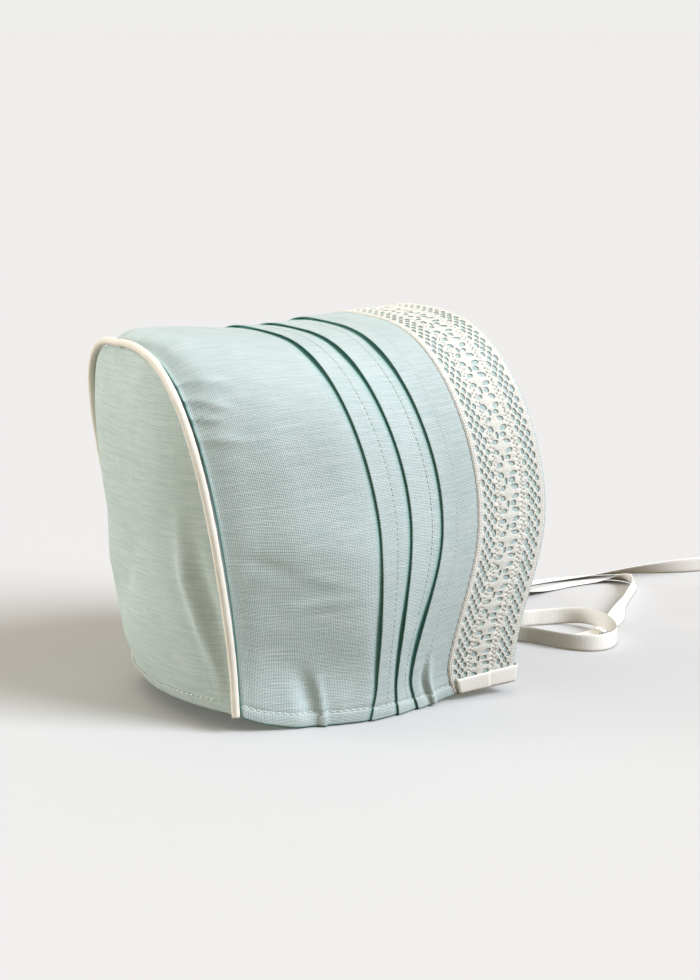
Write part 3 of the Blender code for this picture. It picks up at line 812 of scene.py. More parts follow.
@functools.cache
def satin_finish():
    """Ivory satin ribbon: fine ribs across it and a firm edge."""
    sizes = bpy.context.scene.bonnet_ribbon
    satin = Finish("bonnet_satin", 0.6, 0.05)
    places = satin.threads()
    split = satin.split(places)
    ribs = satin.maths("SINE", satin.times(split[0], 2 * math.pi / sizes.rib_pitch))
    edge = satin.ramp(satin.maths("ABSOLUTE", split[1]), *RIBBON_EDGE)
    streaks = satin.times(satin.noise(places, (900.0, 60.0, 10.0)), 0.5)
    share = satin.plus(satin.times(edge, 0.35), streaks, clamp=True)
    height = satin.plus(satin.times(ribs, 0.25), edge)
    return satin.done(satin.mixed(share, sizes.colour, sizes.deep_colour), height, 0.00008)


def linked(name, data):
    """A new object in the scene."""
    made = bpy.data.objects.new(name, data)
    bpy.context.collection.objects.link(made)
    return made


def thread_grid(points, along, across, strand=0.0):
    """Thread places for points: the way along the threads, across them, and the strand."""
    places = np.zeros_like(points)
    for axis, values in enumerate((along, across, strand)):
        places[..., axis] = values
    return places


def add_piece(name, points, faces, finish, threads, stands_for=(), crease=None):
    """A mesh piece on the bonnet's body, with its finish, thread places and painted shade."""
    mesh = bpy.data.meshes.new(name)
    mesh.from_pydata(np.asarray(points, float).reshape(-1, 3).tolist(), [], faces)
    places = mesh.attributes.new("threads", "FLOAT_VECTOR", "POINT")
    places.data.foreach_set("vector", np.asarray(threads, np.float32).ravel())
    if crease is not None:
        depths = mesh.attributes.new("crease", "FLOAT", "POINT")
        depths.data.foreach_set("value", np.asarray(crease, np.float32).ravel())
    body = bmesh.new()
    body.from_mesh(mesh)
    bmesh.ops.recalc_face_normals(body, faces=body.faces[:])
    body.to_mesh(mesh)
    body.free()
    mesh.shade_smooth()
    mesh.materials.append(finish)
    made = linked(name, mesh)
    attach(made, BODY)
    if stands_for:
        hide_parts(*stands_for)
    return made


def ring_faces(rings, count, first=0):
    """Faces of a closed body through rings of equal length."""
    faces = []
    for r in range(rings - 1):
        a = first + r * count
        for i in range(count):
            j = (i + 1) % count
            faces.append((a + i, a + j, a + count + j, a + count + i))
    last = first + (rings - 1) * count
    faces.append(tuple(range(first, first + count)))
    faces.append(tuple(range(last, last + count)))
    return faces


def round_arms(sides, side, out, wide=1.0, thick=1.0):
    """Offsets of a ring's corners from a line, wide to its side and thick straight out."""
    angle = 2 * math.pi * np.arange(sides) / sides
    return (
        (wide * np.cos(angle))[..., None] * side[:, None]
        + (thick * np.sin(angle))[..., None] * out[:, None]
    )


class Bundle:
    """Many small closed tubes gathered into one mesh."""

    def __init__(self):
        self.points = []
        self.threads = []
        self.faces = []
        self.count = 0

    def tube(self, line, out, wide, thick, sides):
        """A thread along a line, wide across it and thick straight out."""
        run = unit(np.gradient(line, axis=0))
        side = unit(np.cross(out, run))
        wide, thick = (np.broadcast_to(v, (len(line),))[:, None] for v in (wide, thick))
        points = line[:, None] + round_arms(sides, side, np.cross(run, side), wide, thick)
        across = THREAD_ROUND * np.arange(sides) / sides
        strand = STRAND_STEP * self.count % 1.0
        self.points.append(points.reshape(-1, 3))
        self.threads.append(thread_grid(points, run_of(line)[:, None], across, strand).reshape(-1, 3))
        self.faces += ring_faces(len(line), sides, self.count)
        self.count += len(line) * sides

    def made(self, name, finish, slot):
        """The gathered tubes as one piece."""
        points = np.concatenate(self.points)
        return add_piece(name, points, self.faces, finish, np.concatenate(self.threads))


def hollow_at(distance, turn, reach=0.0):
    """Depth of the hollows beside the tucks' folded edges and at the back seam."""
    dip = TUCK_DIP * gape_at(turn, "dip")
    made = SEAM_DIP * math.exp(-((distance / SEAM_DIP_WIDTH) ** 2))
    made = made * np.sin(math.pi * turn / 2) ** SEAM_DIP_POWER
    for edge in TUCKS:
        back = edge - distance
        if back >= 0:
            made = made + dip * math.exp(-((back / TUCK_DIP_WIDTH) ** 2))
            made = made + (TUCK_HOLLOW + 0.3 * dip) * math.exp(-((back / TUCK_HOLLOW_WIDTH) ** 2))
        elif reach > 0:
            made = made + (1.3 * dip + TUCK_HOLLOW) * math.exp(-((back / reach) ** 2))
    return made


def painted_shade_at(distance, turn):
    """How much painted shade darkens the cloth close to a tuck's folded edge and beside the piping."""
    beside = (distance - PIPING_RADIUS - CLEARANCE) / PAINTED_SHADE_WIDTH
    made = PIPING_SHADE * math.exp(-(beside ** 2)) + 0 * turn
    for edge in TUCKS:
        back = edge - distance
        if back >= 0:
            wide = PAINTED_SHADE_WIDTH * (1 + 1.2 * gape_at(turn, "dip"))
            made = made + TUCK_SHADE * np.exp(-((back / wide) ** 2))
    return np.minimum(made, 1.0)


def tuck_cut(start, end, turn):
    """Outer points of one tuck at each turn, from its gap to the next tuck's."""
    lift = TUCK_GAPE * gape_at(turn, "gape")
    hollow = hollow_at(start, turn)
    rows = []

    def row(distance, offset, crease):
        """One point of the tuck at every turn."""
        rows.append((start + distance + 0 * lift, offset + 0 * lift, crease + 0 * lift))

    def level(distance):
        """Height of the tuck's upper side in front of its folded edge."""
        fall = 1 - distance / (end - start)
        seam = TUCK_SEAM_DEPTH * math.exp(-(((distance - TUCK_STITCH) / TUCK_SEAM_WIDTH) ** 2))
        return TUCK_RISE * fall + lift * max(1 - distance / TUCK_STITCH, 0.0) ** 2 - seam

    under = TUCK_RISE + lift - 2 * TUCK_ROUND
    inside = ((0.0, -hollow), (0.35, -hollow), (0.7, -hollow), (1.0, -hollow))
    inside += ((1.0, 0.5 * (under - hollow)), (0.7, under - 0.3 * lift), (0.35, under - 0.1 * lift))
    # Painted shade: the fold under each tuck's edge is painted fully dark
    for share, offset in inside:
        row(share * TUCK_NOTCH, offset, 1.0)
    # Painted shade on the rounded folded edge, darkest on its underside
    for angle in np.radians((-90, -50, -15, 15, 45, 70, 90)):
        dark = max(0.0, -math.sin(angle)) ** 0.5
        row(TUCK_ROUND * (1 - math.cos(angle)), under + TUCK_ROUND * (1 + math.sin(angle)), dark)
    places = [0.0010, 0.0020, 0.0030, 0.0040, 0.0050, 0.0058]
    places += list(TUCK_STITCH + TUCK_SEAM_WIDTH * np.array([-2, -1, -0.5, 0, 0.5, 1, 2, 3]))
    places += list(np.linspace(TUCK_STITCH + 0.0016, end - start - TUCK_HOLLOW_WIDTH, 8))
    places += list(end - start - TUCK_HOLLOW_WIDTH * np.array([0.75, 0.5, 0.25]))
    for distance in places:
        offset = level(distance) - hollow_at(start + distance, turn)
        row(distance, offset, painted_shade_at(start + distance, turn))
    return rows


def band_cut(turn):
    """The band's cut at each turn, outer side first: distances, offsets and painted shade.

    The last value is the number of points on the outer side.
    """
    zero = np.zeros_like(turn)
    start = PIPING_RADIUS + CLEARANCE
    edges = TUCKS + [LACE_EDGE]
    # Painted shade: the cloth turned in at the piping is painted fully dark
    rows = [(start + beside + zero, zero + offset, zero + 1) for beside, offset in SEAM_TURN]
    places = list(np.linspace(start + 0.0006, edges[0] - 0.003, 38))
    places += list(edges[0] - np.array([0.0024, 0.0018, 0.0013, 0.0009, 0.0005, 0.0002]))
    for distance in places:
        rows.append((distance + zero, -hollow_at(distance, turn), painted_shade_at(distance, turn)))
    for edge, end in zip(edges[:-1], edges[1:]):
        rows += tuck_cut(edge, end, turn)
    for distance in np.linspace(LACE_EDGE, 0.985 * HEM_LENGTH, 16):
        # Painted shadow of the lace on the cloth under it
        shade = LACE_SHADE if distance > LACE_EDGE + LACE_SHADE_START else 0.0
        rows.append((distance + zero, zero, zero + shade))
    for share, offset in FACE_TURN:
        rows.append((share * HEM_LENGTH + zero, zero + offset * WALL, zero))
    outer = len(rows)
    for distance in np.linspace(0.98 * HEM_LENGTH, start, 60):
        rows.append((distance + zero, -WALL - hollow_at(distance, turn, TUCK_NOTCH), zero))
    return *(np.array(values).T for values in zip(*rows)), outer


def make_band():
    """The linen band over the crown, with its tucks and its turned hem."""
    hem = FORM.turn_up(HEM_DEPTH)
    fine = FORM.turn_up(STITCH_FINE)
    bend = FORM.turn_up(HEM_ROUND)
    low = [0.0, 0.1 * bend, 0.3 * bend, 0.6 * bend, bend, 0.5 * hem]
    stitched = [hem - 2 * fine, hem - fine, hem, hem + fine, hem + 2 * fine]
    half = np.concatenate([low, stitched, np.linspace(hem + 3 * fine, 1.0, BAND_STEPS)])
    turns = np.concatenate([half, 2.0 - half[::-1][1:]])
    distance, offset, crease, outer = band_cut(turns)
    share = 1.0 - np.abs(1.0 - turns)
    sink = STITCH_SINK * np.exp(-(((share - hem) / (1.2 * fine)) ** 2))
    hem_fold = np.where(share < hem, HEM_THICKENING, 0.0)
    bent = HEM_ROUND * (1 - np.sqrt(1 - np.clip(1 - share / bend, 0, 1) ** 2))
    offset[:, :outer] += (hem_fold - sink - bent)[:, None]
    # Painted shade along the hem's rounded underside, where it meets the floor
    under = np.clip(HEM_SHADE * (1 - share / bend), 0, 1)
    crease[:, :outer] = np.maximum(crease[:, :outer], under[:, None])
    points = FORM.place(distance, turns[:, None], offset)
    points[..., 2] = np.maximum(points[..., 2], 0.0)
    steps = np.hypot(np.diff(distance, axis=1), np.diff(offset, axis=1))
    covered = np.pad(np.cumsum(steps, axis=1), ((0, 0), (1, 0)))
    threads = thread_grid(points, covered, (turns * FORM.length)[:, None])
    faces = ring_faces(*distance.shape)
    finish = linen_finish("bonnet_linen")
    return add_piece("band_cloth", points, faces, finish, threads, ("side_band",), crease)


def ridge_height(points, half_width, table, width):
    """Height of a soft ridge or hollow in the back panel at points of it."""
    rows = np.array(table)
    line = np.stack([rows[:, 0] * half_width, rows[:, 1] * CROWN_HEIGHT], axis=1)
    best = np.full(len(points), 1e9)
    height = np.zeros(len(points))
    at = points[:, [0, 2]]
    for i in range(len(line) - 1):
        run = line[i + 1] - line[i]
        share = np.clip((at - line[i]) @ run / (run @ run), 0.0, 1.0)
        gap = np.linalg.norm(at - line[i] - share[:, None] * run, axis=1)
        closer = gap < best
        best = np.where(closer, gap, best)
        height = np.where(closer, rows[i, 2] * (1 - share) + rows[i + 1, 2] * share, height)
    return RIDGE_HEIGHT * height * np.exp(-((best / width) ** 2))


def panel_edge():
    """The back panel's edge: up the near seam, down the far one, then the hem."""
    turns = np.linspace(0.0, 2.0, PANEL_SEAM_STEPS + 1)
    seam = FORM.place(0.0, turns, -(PIPING_RADIUS + CLEARANCE))
    across = np.linspace(1.0, -1.0, PANEL_HEM_STEPS + 1)[1:-1]
    near = seam[0]
    hem = np.stack([
        -near[0] * across,
        near[1] + BULGE_AT_HEM * (1 - across ** 2),
        near[2] + 0 * across,
    ], axis=1)
    return seam, hem


def panel_grid():
    """Outer points of the back panel ring by ring, the middle first."""
    seam, hem = panel_edge()
    edge = np.concatenate([seam, hem])
    middle_height = PANEL_CENTRE_HEIGHT * CROWN_HEIGHT
    half_seam = seam[: len(seam) // 2]
    nearest = half_seam[np.argmin(np.abs(half_seam[:, 2] - middle_height))]
    centre = np.array([0.0, nearest[1], middle_height])
    rows = []
    for ring in range(1, PANEL_RINGS + 1):
        share = ring / PANEL_RINGS
        at = centre + share * (edge - centre)
        blunt = math.hypot(share, PANEL_BLUNT) - PANEL_BLUNT
        blunt /= math.hypot(1.0, PANEL_BLUNT) - PANEL_BLUNT
        at[:, 1] = centre[1] + blunt * (edge[:, 1] - centre[1])
        at[:, 1] += BULGE_AT_MIDDLE * (1 - share ** BULGE_POWER)
        folds = sum(ridge_height(at, -nearest[0], *table) for table in PANEL_FOLDS)
        at[:, 1] += folds * (1 - share ** 12)
        rows.append(at)
    middle = centre + np.array([0.0, BULGE_AT_MIDDLE, 0.0])
    return middle, np.array(rows), len(seam)


def panel_out(rows):
    """Unit vectors straight out of the back panel at its grid's points."""
    run = np.roll(rows, -1, axis=1) - np.roll(rows, 1, axis=1)
    rise = np.gradient(rows, axis=0)
    out = unit(np.cross(rise, run))
    return np.where(out[..., 1:2] < 0, -out, out)


def panel_line(lift):
    """A line over the back panel at one height over its hem, and outward there."""
    _, rows, seam_count = panel_grid()
    height = rows[..., 2] - rows[-1, seam_count, 2]
    near = slice(-PANEL_HEM_RINGS, None)
    line, out = (
        np.array([
            [np.interp(-lift, -height[near, k], grid[near, k, i]) for i in range(3)]
            for k in range(seam_count, rows.shape[1])
        ])
        for grid in (rows, panel_out(rows))
    )
    return line + PANEL_STITCH_LEVEL * out, out


def make_panel():
    """The domed back panel of linen, with its hem."""
    middle, rows, seam_count = panel_grid()
    rings, count = rows.shape[:2]
    out = panel_out(rows)
    hem = np.arange(count) >= seam_count
    out[-1, hem, 2] = 0.0
    out = unit(out)
    lift = rows[..., 2] - rows[-1, seam_count, 2]
    sink = STITCH_SINK * np.exp(-(((lift - HEM_DEPTH) / PANEL_SINK_WIDTH) ** 2))
    thick = np.where(lift < HEM_DEPTH, HEM_THICKENING, 0.0)
    thick[-1, hem] -= 0.8 * HEM_ROUND
    outer = rows + (thick - sink)[..., None] * out
    inner = rows - WALL * out
    sides = ([middle], outer.reshape(-1, 3), [middle - (0, WALL, 0)], inner.reshape(-1, 3))
    points = np.concatenate(sides)
    faces = []
    total = 1 + rings * count
    for base in (0, total):
        for i in range(count):
            faces.append((base, base + 1 + i, base + 1 + (i + 1) % count))
        for ring in range(rings - 1):
            a = base + 1 + ring * count
            for i in range(count):
                j = (i + 1) % count
                faces.append((a + i, a + count + i, a + count + j, a + j))
    last = 1 + (rings - 1) * count
    for i in range(count):
        j = (i + 1) % count
        faces.append((last + i, last + j, total + last + j, total + last + i))
    threads = points[:, [0, 2, 1]] * (1.0, 1.0, 0.1) + (0.3, 0.0, 0.0)
    crease = np.zeros(len(points))
    # Painted shade along the back panel's hem edge, where it meets the floor
    crease[last + np.flatnonzero(hem)] = 1.0
    # Painted light: the back panel's linen is painted about 14% lighter, standing in for light it lacks,
    # and shows fewer slubs
    finish = linen_finish("bonnet_back_linen", (1.14, 1.14, 1.13), 0.35)
    return add_piece("back_cloth", points, faces, finish, threads, ("back_panel",), crease)


def make_piping():
    """The round covered cord in the back seam."""
    turns = np.linspace(0.0, 2.0 - FORM.turn_up(PIPING_SHORT), PIPING_STEPS + 1)
    line = FORM.place(0.0, turns, 0.0)
    out = FORM.outward(0.0 * turns, turns)
    run = unit(np.gradient(line, axis=0))
    run[[0, -1], :2] = 0.0
    side = unit(np.cross(out, unit(run)))
    soft = sum((size * np.sin(turns * waves + start) for size, waves, start in PIPING_UNEVEN), 1.0)
    points = line[:, None] + PIPING_RADIUS * soft[:, None, None] * round_arms(PIPING_SIDES, side, out)
    across = 2 * math.pi * PIPING_RADIUS * np.arange(PIPING_SIDES) / PIPING_SIDES
    threads = thread_grid(points, (turns * FORM.length)[:, None], across)
    faces = ring_faces(len(turns), PIPING_SIDES)
    return add_piece("piping_cord", points, faces, cotton_finish(), threads, ("piping",))


def lace_turns():
    """The turns where the lace's repeats start, and the last one's end."""
    first = FORM.turn_up(LACE_MARGIN)
    return np.linspace(first, 2.0 - first, LACE_REPEATS + 1)


def gap_outline(across, up, wide, high, lean, point, steps=12, power=0.85):
    """Corners of one gap of the lace, in metres across and up one repeat."""
    size = lace_size()
    angle = 2 * math.pi * (np.arange(steps) + 0.5) / steps
    x = 0.5 * wide * np.sign(np.cos(angle)) * np.abs(np.cos(angle)) ** power
    y = 0.5 * high * np.sign(np.sin(angle)) * np.abs(np.sin(angle)) ** power
    hub = np.array([LACE_HUB[0] - across, LACE_HUB[1] - up]) * size
    hub /= max(np.linalg.norm(hub), 1e-9)
    made = np.stack([x + lean * wide * y / high, y], axis=1) * size
    towards = made @ hub / (0.5 * np.linalg.norm(np.array([wide, high]) * size))
    side = made - (made @ hub)[:, None] * hub
    made = made - side * (point * 0.55 * np.clip(towards + 0.2, 0.0, 1.0))[:, None]
    return made + np.array([across, up]) * size


def lace_size():
    """Width of the lace and height of one repeat, in metres."""
    turns = lace_turns()
    width = HEM_LENGTH - LACE_MARGIN - LACE_EDGE
    return np.array([width, (turns[1] - turns[0]) * FORM.length])


def staggered(columns, count):
    """Places in one repeat, every second column half a row higher."""
    return [(across, (row + 0.25 + 0.5 * (k % 2)) / count)
            for k, across in enumerate(columns) for row in range(count)]


def lace_gaps():
    """Outlines of every gap in the lace, each a little uneven, in metres."""
    size = lace_size()
    wobble = np.random.default_rng(7)
    rows = [gap_outline(*gap) for gap in GAPS]
    for columns in NETS:
        rows += [gap_outline(across, up, *NET_GAP) for across, up in staggered(columns, NET_ROWS)]
    angle = 2 * math.pi * np.arange(PIN_CORNERS) / PIN_CORNERS
    ring = PIN_RADIUS * np.stack([np.cos(angle), 1.4 * np.sin(angle)], axis=1)
    rows += [ring + np.array(place) * size for place in staggered(PIN_COLUMNS, PIN_ROWS)]
    made = []
    for repeat in range(LACE_REPEATS):
        for outline in rows:
            if repeat == LACE_REPEATS - 1 and outline[:, 1].max() > size[1] - LACE_END:
                continue
            middle = outline.mean(axis=0)
            loose = 3.0 if len(outline) == PIN_CORNERS else 1.0
            grown = 1 + UNEVEN_SIZE * loose * wobble.standard_normal(2).clip(-1.5, 1.5)
            shift = UNEVEN_PLACE * loose * wobble.standard_normal(2).clip(-1.5, 1.5)
            made.append(middle + (outline - middle) * grown + shift + (0.0, repeat * size[1]))
    return made


def lace_sheet():
    """The pierced lace laid flat: its points, which of them are on a rim, and its faces."""
    size = lace_size()
    length = size[1] * LACE_REPEATS
    gaps = lace_gaps()
    points = []
    loops = []
    along = np.arange(0, LACE_STEPS) / LACE_STEPS * length
    wave = LACE_WAVE * np.sin(along / size[1] * 2 * math.pi * 3)
    border = [(size[0] + w + LACE_RIM, a) for a, w in zip(along, wave)] + [(size[0], length)]
    border += [(w - LACE_RIM, length - a) for a, w in zip(along, wave)] + [(0.0, 0.0)]
    for outline in [np.array(border)] + gaps:
        loops.append(list(range(len(points), len(points) + len(outline))))
        points += [tuple(p) for p in outline]
    rims = len(points)
    for outline in gaps:
        if len(outline) > PIN_CORNERS:
            away = outline - outline.mean(axis=0)
            points += [tuple(p) for p in outline + LACE_BEVEL * unit(away)]
    for share in LACE_LINES:
        points += [(share * size[0], a) for a in along[1:] + 0.0002]
    vectors = [Vector(p) for p in points]
    flat, _, faces, given, _, sources = delaunay_2d_cdt(vectors, [], loops, 0, 1e-7)
    kept = [face for face, source in zip(faces, sources) if list(source) == [0]]
    rim = np.array([any(k < rims for k in source) for source in given])
    return np.array([tuple(p) for p in flat]), rim, kept


def make_lace_sheet():
    """The lace as one pierced sheet over the face edge, its gaps rounded."""
    flat, rim, faces = lace_sheet()
    turn = lace_turns()[0] + flat[:, 1] / FORM.length
    distance = LACE_EDGE + flat[:, 0]
    top = LACE_CLEARANCE + np.where(rim, RIM_TOP, 1.0) * LACE_THICKNESS
    low = LACE_CLEARANCE + np.where(rim, RIM_LOW, 0.0) * LACE_THICKNESS
    meeting = np.exp(-((flat[:, 0] / LACE_MEETING) ** 2))
    top = top - 1.2 * LACE_CLEARANCE * meeting
    low = low * (1 - 0.9 * meeting)
    points = np.concatenate([FORM.place(distance, turn, top), FORM.place(distance, turn, low)])
    count = len(flat)
    sides = {}
    for face in faces:
        for a, b in zip(face, face[1:] + face[:1]):
            sides[(a, b)] = (b, a) not in sides
            if not sides[(a, b)]:
                sides[(b, a)] = False
    made = [tuple(face) for face in faces]
    made += [tuple(count + k for k in reversed(face)) for face in faces]
    made += [(b, a, count + a, count + b) for (a, b), alone in sides.items() if alone]
    threads = thread_grid(points, *np.concatenate([flat, flat]).T)
    return add_piece("lace_sheet", points, made, lace_finish(), threads, ("lace_band",))


def make_lace():
    """Bobbin lace over the face edge: nets, pinhole braids and a chain of motifs."""
    make_lace_sheet()
    sizes = bpy.context.scene.bonnet_lace
    turns = np.linspace(lace_turns()[0], lace_turns()[-1], LACE_STEPS + 1)
    cords = Bundle()
    for share in LACE_CORDS:
        distance = LACE_EDGE + share * lace_size()[0] + 0 * turns
        line = FORM.place(distance, turns, LACE_LEVEL)
        out = FORM.outward(distance, turns)
        cords.tube(line, out, LACE_CORD_RADIUS, 0.6 * LACE_CORD_RADIUS, 8)
    thread = thread_finish("bonnet_lace_cord", sizes.colour, sizes.deep_colour, LACE_TWISTS)
    cords.made("lace_cords", thread, "lace")


def stitch_row(bundle, line, out, length, gap, radius):
    """A row of small stitches along a line on the cloth."""
    along, rise, wide = np.array(STITCH_SHAPE).T
    run = run_of(line)
    count = int(run[-1] / (length + gap))
    for k in range(count):
        at = (k + 0.5) * (length + gap) + length * along
        centre = at_steps(line, run, at)
        away = unit(at_steps(out, run, at))
        bundle.tube(centre + (radius * rise)[:, None] * away, away, radius * wide, radius * 0.8, 5)


def make_stitches():
    """Rows of stitches along the hems and the tucks."""
    sizes = bpy.context.scene.bonnet_linen
    length = sizes.stitch_length
    hem = FORM.turn_up(HEM_DEPTH)
    distance = np.linspace(STITCH_START, LACE_EDGE, 240)
    rows = Bundle()
    for turn in (hem, 2.0 - hem):
        places, heights, _, outer = band_cut(np.array([turn]))
        offset = np.interp(distance, np.maximum.accumulate(places[0, :outer]), heights[0, :outer])
        line = FORM.place(distance, turn, offset - STITCH_SINK + 0.0001)
        out = FORM.outward(distance, turn + 0 * distance)
        stitch_row(rows, line, out, length, STITCH_GAP * length, HEM_STITCH_RADIUS)
    turns = np.linspace(hem, 2.0 - hem, 900)
    for edge in TUCKS:
        line = FORM.place(edge + TUCK_STITCH, turns, TUCK_STITCH_LEVEL)
        out = FORM.outward(edge + TUCK_STITCH + 0 * turns, turns)
        short = TUCK_STITCH_SHARE * length
        stitch_row(rows, line, out, short, TUCK_STITCH_GAP * length, TUCK_STITCH_RADIUS)
    thread = thread_finish("bonnet_stitch_thread", sizes.stitch_colour, sizes.deep_colour, STITCH_TWISTS)
    rows.made("seam_stitches", thread, "linen")
    back = Bundle()
    stitch_row(back, *panel_line(HEM_DEPTH), length, STITCH_GAP * length, BACK_STITCH_RADIUS)
    pale = (sizes.back_stitch_colour, sizes.stitch_colour)
    back.made("back_stitches", thread_finish("bonnet_back_stitch_thread", *pale, STITCH_TWISTS), "linen")


def strip(name, centre, wide, thick, thickness, node):
    """A flat satin ribbon through centre points, with its wide and thick directions."""
    ring = []
    steps = np.linspace(-0.5, 0.5, RIBBON_COLUMNS + 1)
    for side in (1, -1):
        for share in steps[::side]:
            edge = 1.0 - abs(2 * share) ** 8 * 0.5
            ring.append((share * RIBBON_WIDTH, side * 0.5 * thickness * edge))
    across, up = np.array(ring).T
    points = centre[:, None] + across[None, :, None] * wide[:, None] + up[None, :, None] * thick[:, None]
    threads = thread_grid(points, run_of(centre)[:, None], across)
    faces = ring_faces(len(centre), len(ring))
    return add_piece(name, points, faces, satin_finish(), threads, (node,))


def curve_through(rows, step):
    """Rows of a smooth curve through the given rows, about one step apart."""
    rows = np.array(rows, float)
    ends = np.concatenate([[2 * rows[0] - rows[1]], rows, [2 * rows[-1] - rows[-2]]])
    made = []
    for i in range(len(rows) - 1):
        a, b, c, d = ends[i], ends[i + 1], ends[i + 2], ends[i + 3]
        count = max(1, round(float(np.linalg.norm((c - b)[:2])) / step))
        for k in range(count):
            t = k / count
            made.append(
                0.5 * (2 * b + (c - a) * t + (2 * a - 5 * b + 4 * c - d) * t * t
                       + (3 * b - a - 3 * c + d) * t ** 3)
            )
    made.append(rows[-1])
    return np.array(made)


def make_tie(name, route, node):
    """A free satin ribbon along its route, one limp strip."""
    thickness = bpy.context.scene.bonnet_ribbon.thickness
    rows = curve_through(route, RIBBON_POINT_STEP)
    lean = np.radians(np.clip(rows[:, 3], 0, 90))
    centre = rows[:, :3].copy()
    centre[:, 2] += 0.5 * RIBBON_WIDTH * np.cos(lean) + 0.5 * RIBBON_SOLID * np.sin(lean)
    run = unit(np.gradient(centre, axis=0))
    side = unit(np.cross(run, (0.0, 0.0, 1.0)))
    wide = np.cos(lean)[:, None] * np.cross(side, run) + np.sin(lean)[:, None] * side
    thick = np.cross(run, wide)
    made = strip(name, centre, wide, thick, thickness, node)
    return made


def make_ribbon_end(name, far, node):
    """A ribbon's end sewn on the lace and turned round the face edge."""
    thickness = bpy.context.scene.bonnet_ribbon.thickness + 0.0001
    level = CLEARANCE + LACE_THICKNESS + END_LEVEL
    fold = HEM_LENGTH - RIBBON_FOLD
    back = LACE_EDGE + END_BACK
    front = HEM_LENGTH + CLEARANCE + END_AHEAD
    path = [(back + distance, level + offset) for distance, offset in END_TIP]
    flat = np.concatenate([
        np.linspace(back + 0.001, fold - 5 * END_STEEP, 14),
        fold + END_STEEP * np.arange(-4, 5),
        np.linspace(fold + 0.0007, front - END_CORNER, 12),
    ])
    path += [(d, level + RIBBON_STEP / (1 + math.exp((d - fold) / END_STEEP))) for d in flat]
    path += [
        (front + END_CORNER * (math.sin(a) - 1), level + END_CORNER * (math.cos(a) - 1))
        for a in np.radians((15, 30, 45, 60, 75, 90))
    ]
    path += [(front, o) for o in np.linspace(level - END_CORNER - 0.0002, -WALL - CLEARANCE, 6)]
    distance, offset = np.array(path).T
    turns = FORM.turn_up(RIBBON_LIFT + RIBBON_WIDTH * np.array([0.0, 0.5, 1.0]))
    if far:
        turns = 2.0 - turns
    edges = [FORM.place(distance, t + 0 * distance, offset) for t in turns]
    wide = unit(edges[2] - edges[0])
    run = unit(np.gradient(edges[1], axis=0))
    thick = np.cross(wide, run) * (1.0 if far else -1.0)
    return strip(name, edges[1], wide, thick, thickness, node)


def aim(thing, target):
    """Turns a camera or light at a point."""
    towards = Vector(target) - thing.location
    thing.rotation_mode = "QUATERNION"
    thing.rotation_quaternion = towards.to_track_quat("-Z", "Y")


def sun_light(name, direction, spread, colour, power):
    """A wide soft light from far away, shining from a direction."""
    light = bpy.data.lights.new(name, "SUN")
    light.angle = math.radians(spread)
    light.energy = power
    light.color = colour
    made = linked(name, light)
    made.location = Vector(direction).normalized()
    aim(made, (0.0, 0.0, 0.0))


def make_camera():
    """The camera, turned at the bonnet from a little behind its near side."""
    azimuth = math.radians(CAMERA_AZIMUTH)
    elevation = math.radians(CAMERA_ELEVATION)
    away = Vector((
        math.sin(azimuth) * math.cos(elevation),
        -math.cos(azimuth) * math.cos(elevation),
        math.sin(elevation),
    ))
    camera = bpy.data.cameras.new("camera")
    camera.lens = CAMERA_LENS
    camera.clip_start = 0.05
    camera.clip_end = 200.0
    view = linked("camera", camera)
    view.location = Vector(CAMERA_TARGET) + CAMERA_DISTANCE * away
    aim(view, CAMERA_TARGET)
    bpy.context.scene.camera = view


def make_floor(sizes):
    """The wide pale floor."""
    mesh = bpy.data.meshes.new("floor")
    angles = np.linspace(0, 2 * math.pi, FLOOR_SIDES + 1)[:-1]
    ring = [(FLOOR_RADIUS * math.cos(a), FLOOR_RADIUS * math.sin(a), FLOOR_LEVEL) for a in angles]
    mesh.from_pydata(ring, [], [tuple(range(FLOOR_SIDES))])
    paper = Finish("pale_paper", 0.9)
    paper.feed(paper.shader.inputs["Specular IOR Level"], 0.1)
    seen = paper.add("LightPath").outputs["Is Camera Ray"]
    mesh.materials.append(paper.done(paper.mixed(seen, sizes.bounce_colour, sizes.floor_colour)))
    linked("floor", mesh)


def make_air(sizes):
    """Soft light from all round, stronger from above."""
    scene = bpy.context.scene
    scene.world = scene.world or bpy.data.worlds.new("studio")
    scene.world.use_nodes = True
    air = Nodes(scene.world.node_tree)
    ground = air.tree.nodes["Background"]
    air.feed(ground.inputs["Strength"], sizes.air_light)
    height = air.split(air.add("TexCoord").outputs["Generated"])[2]
    sky = air.mixed(air.maths("ABSOLUTE", height), sizes.low_air_colour, sizes.high_air_colour)
    seen = air.add("LightPath").outputs["Is Camera Ray"]
    distance = [c / sizes.air_light for c in sizes.distance_colour]
    air.feed(ground.inputs["Color"], air.mixed(seen, sky, distance))
    scene.view_settings.view_transform = "Standard"


def make_stage():
    """The camera, the pale floor and the soft studio light."""
    sizes = bpy.context.scene.bonnet_stage
    make_camera()
    make_floor(sizes)
    make_air(sizes)
    for name, direction, spread, colour in LIGHTS:
        sun_light(name, direction, spread, colour, getattr(sizes, name + "_light"))


def colour_prop(name, description, default):
    """A colour that a user may change."""
    return bpy.props.FloatVectorProperty(
        name=name, description=description, subtype="COLOR", size=3, min=0.0, max=1.0, default=default,
    )


def length_prop(name, description, default, low, high):
    """A length that a user may change."""
    return bpy.props.FloatProperty(
        name=name, description=description, unit="LENGTH", precision=5,
        default=default, min=low, max=high,
    )


def strength_prop(name, description, default, low=0.0):
    """The strength of a light."""
    return bpy.props.FloatProperty(
        name=name, description=description, default=default, min=low, max=20.0,
    )


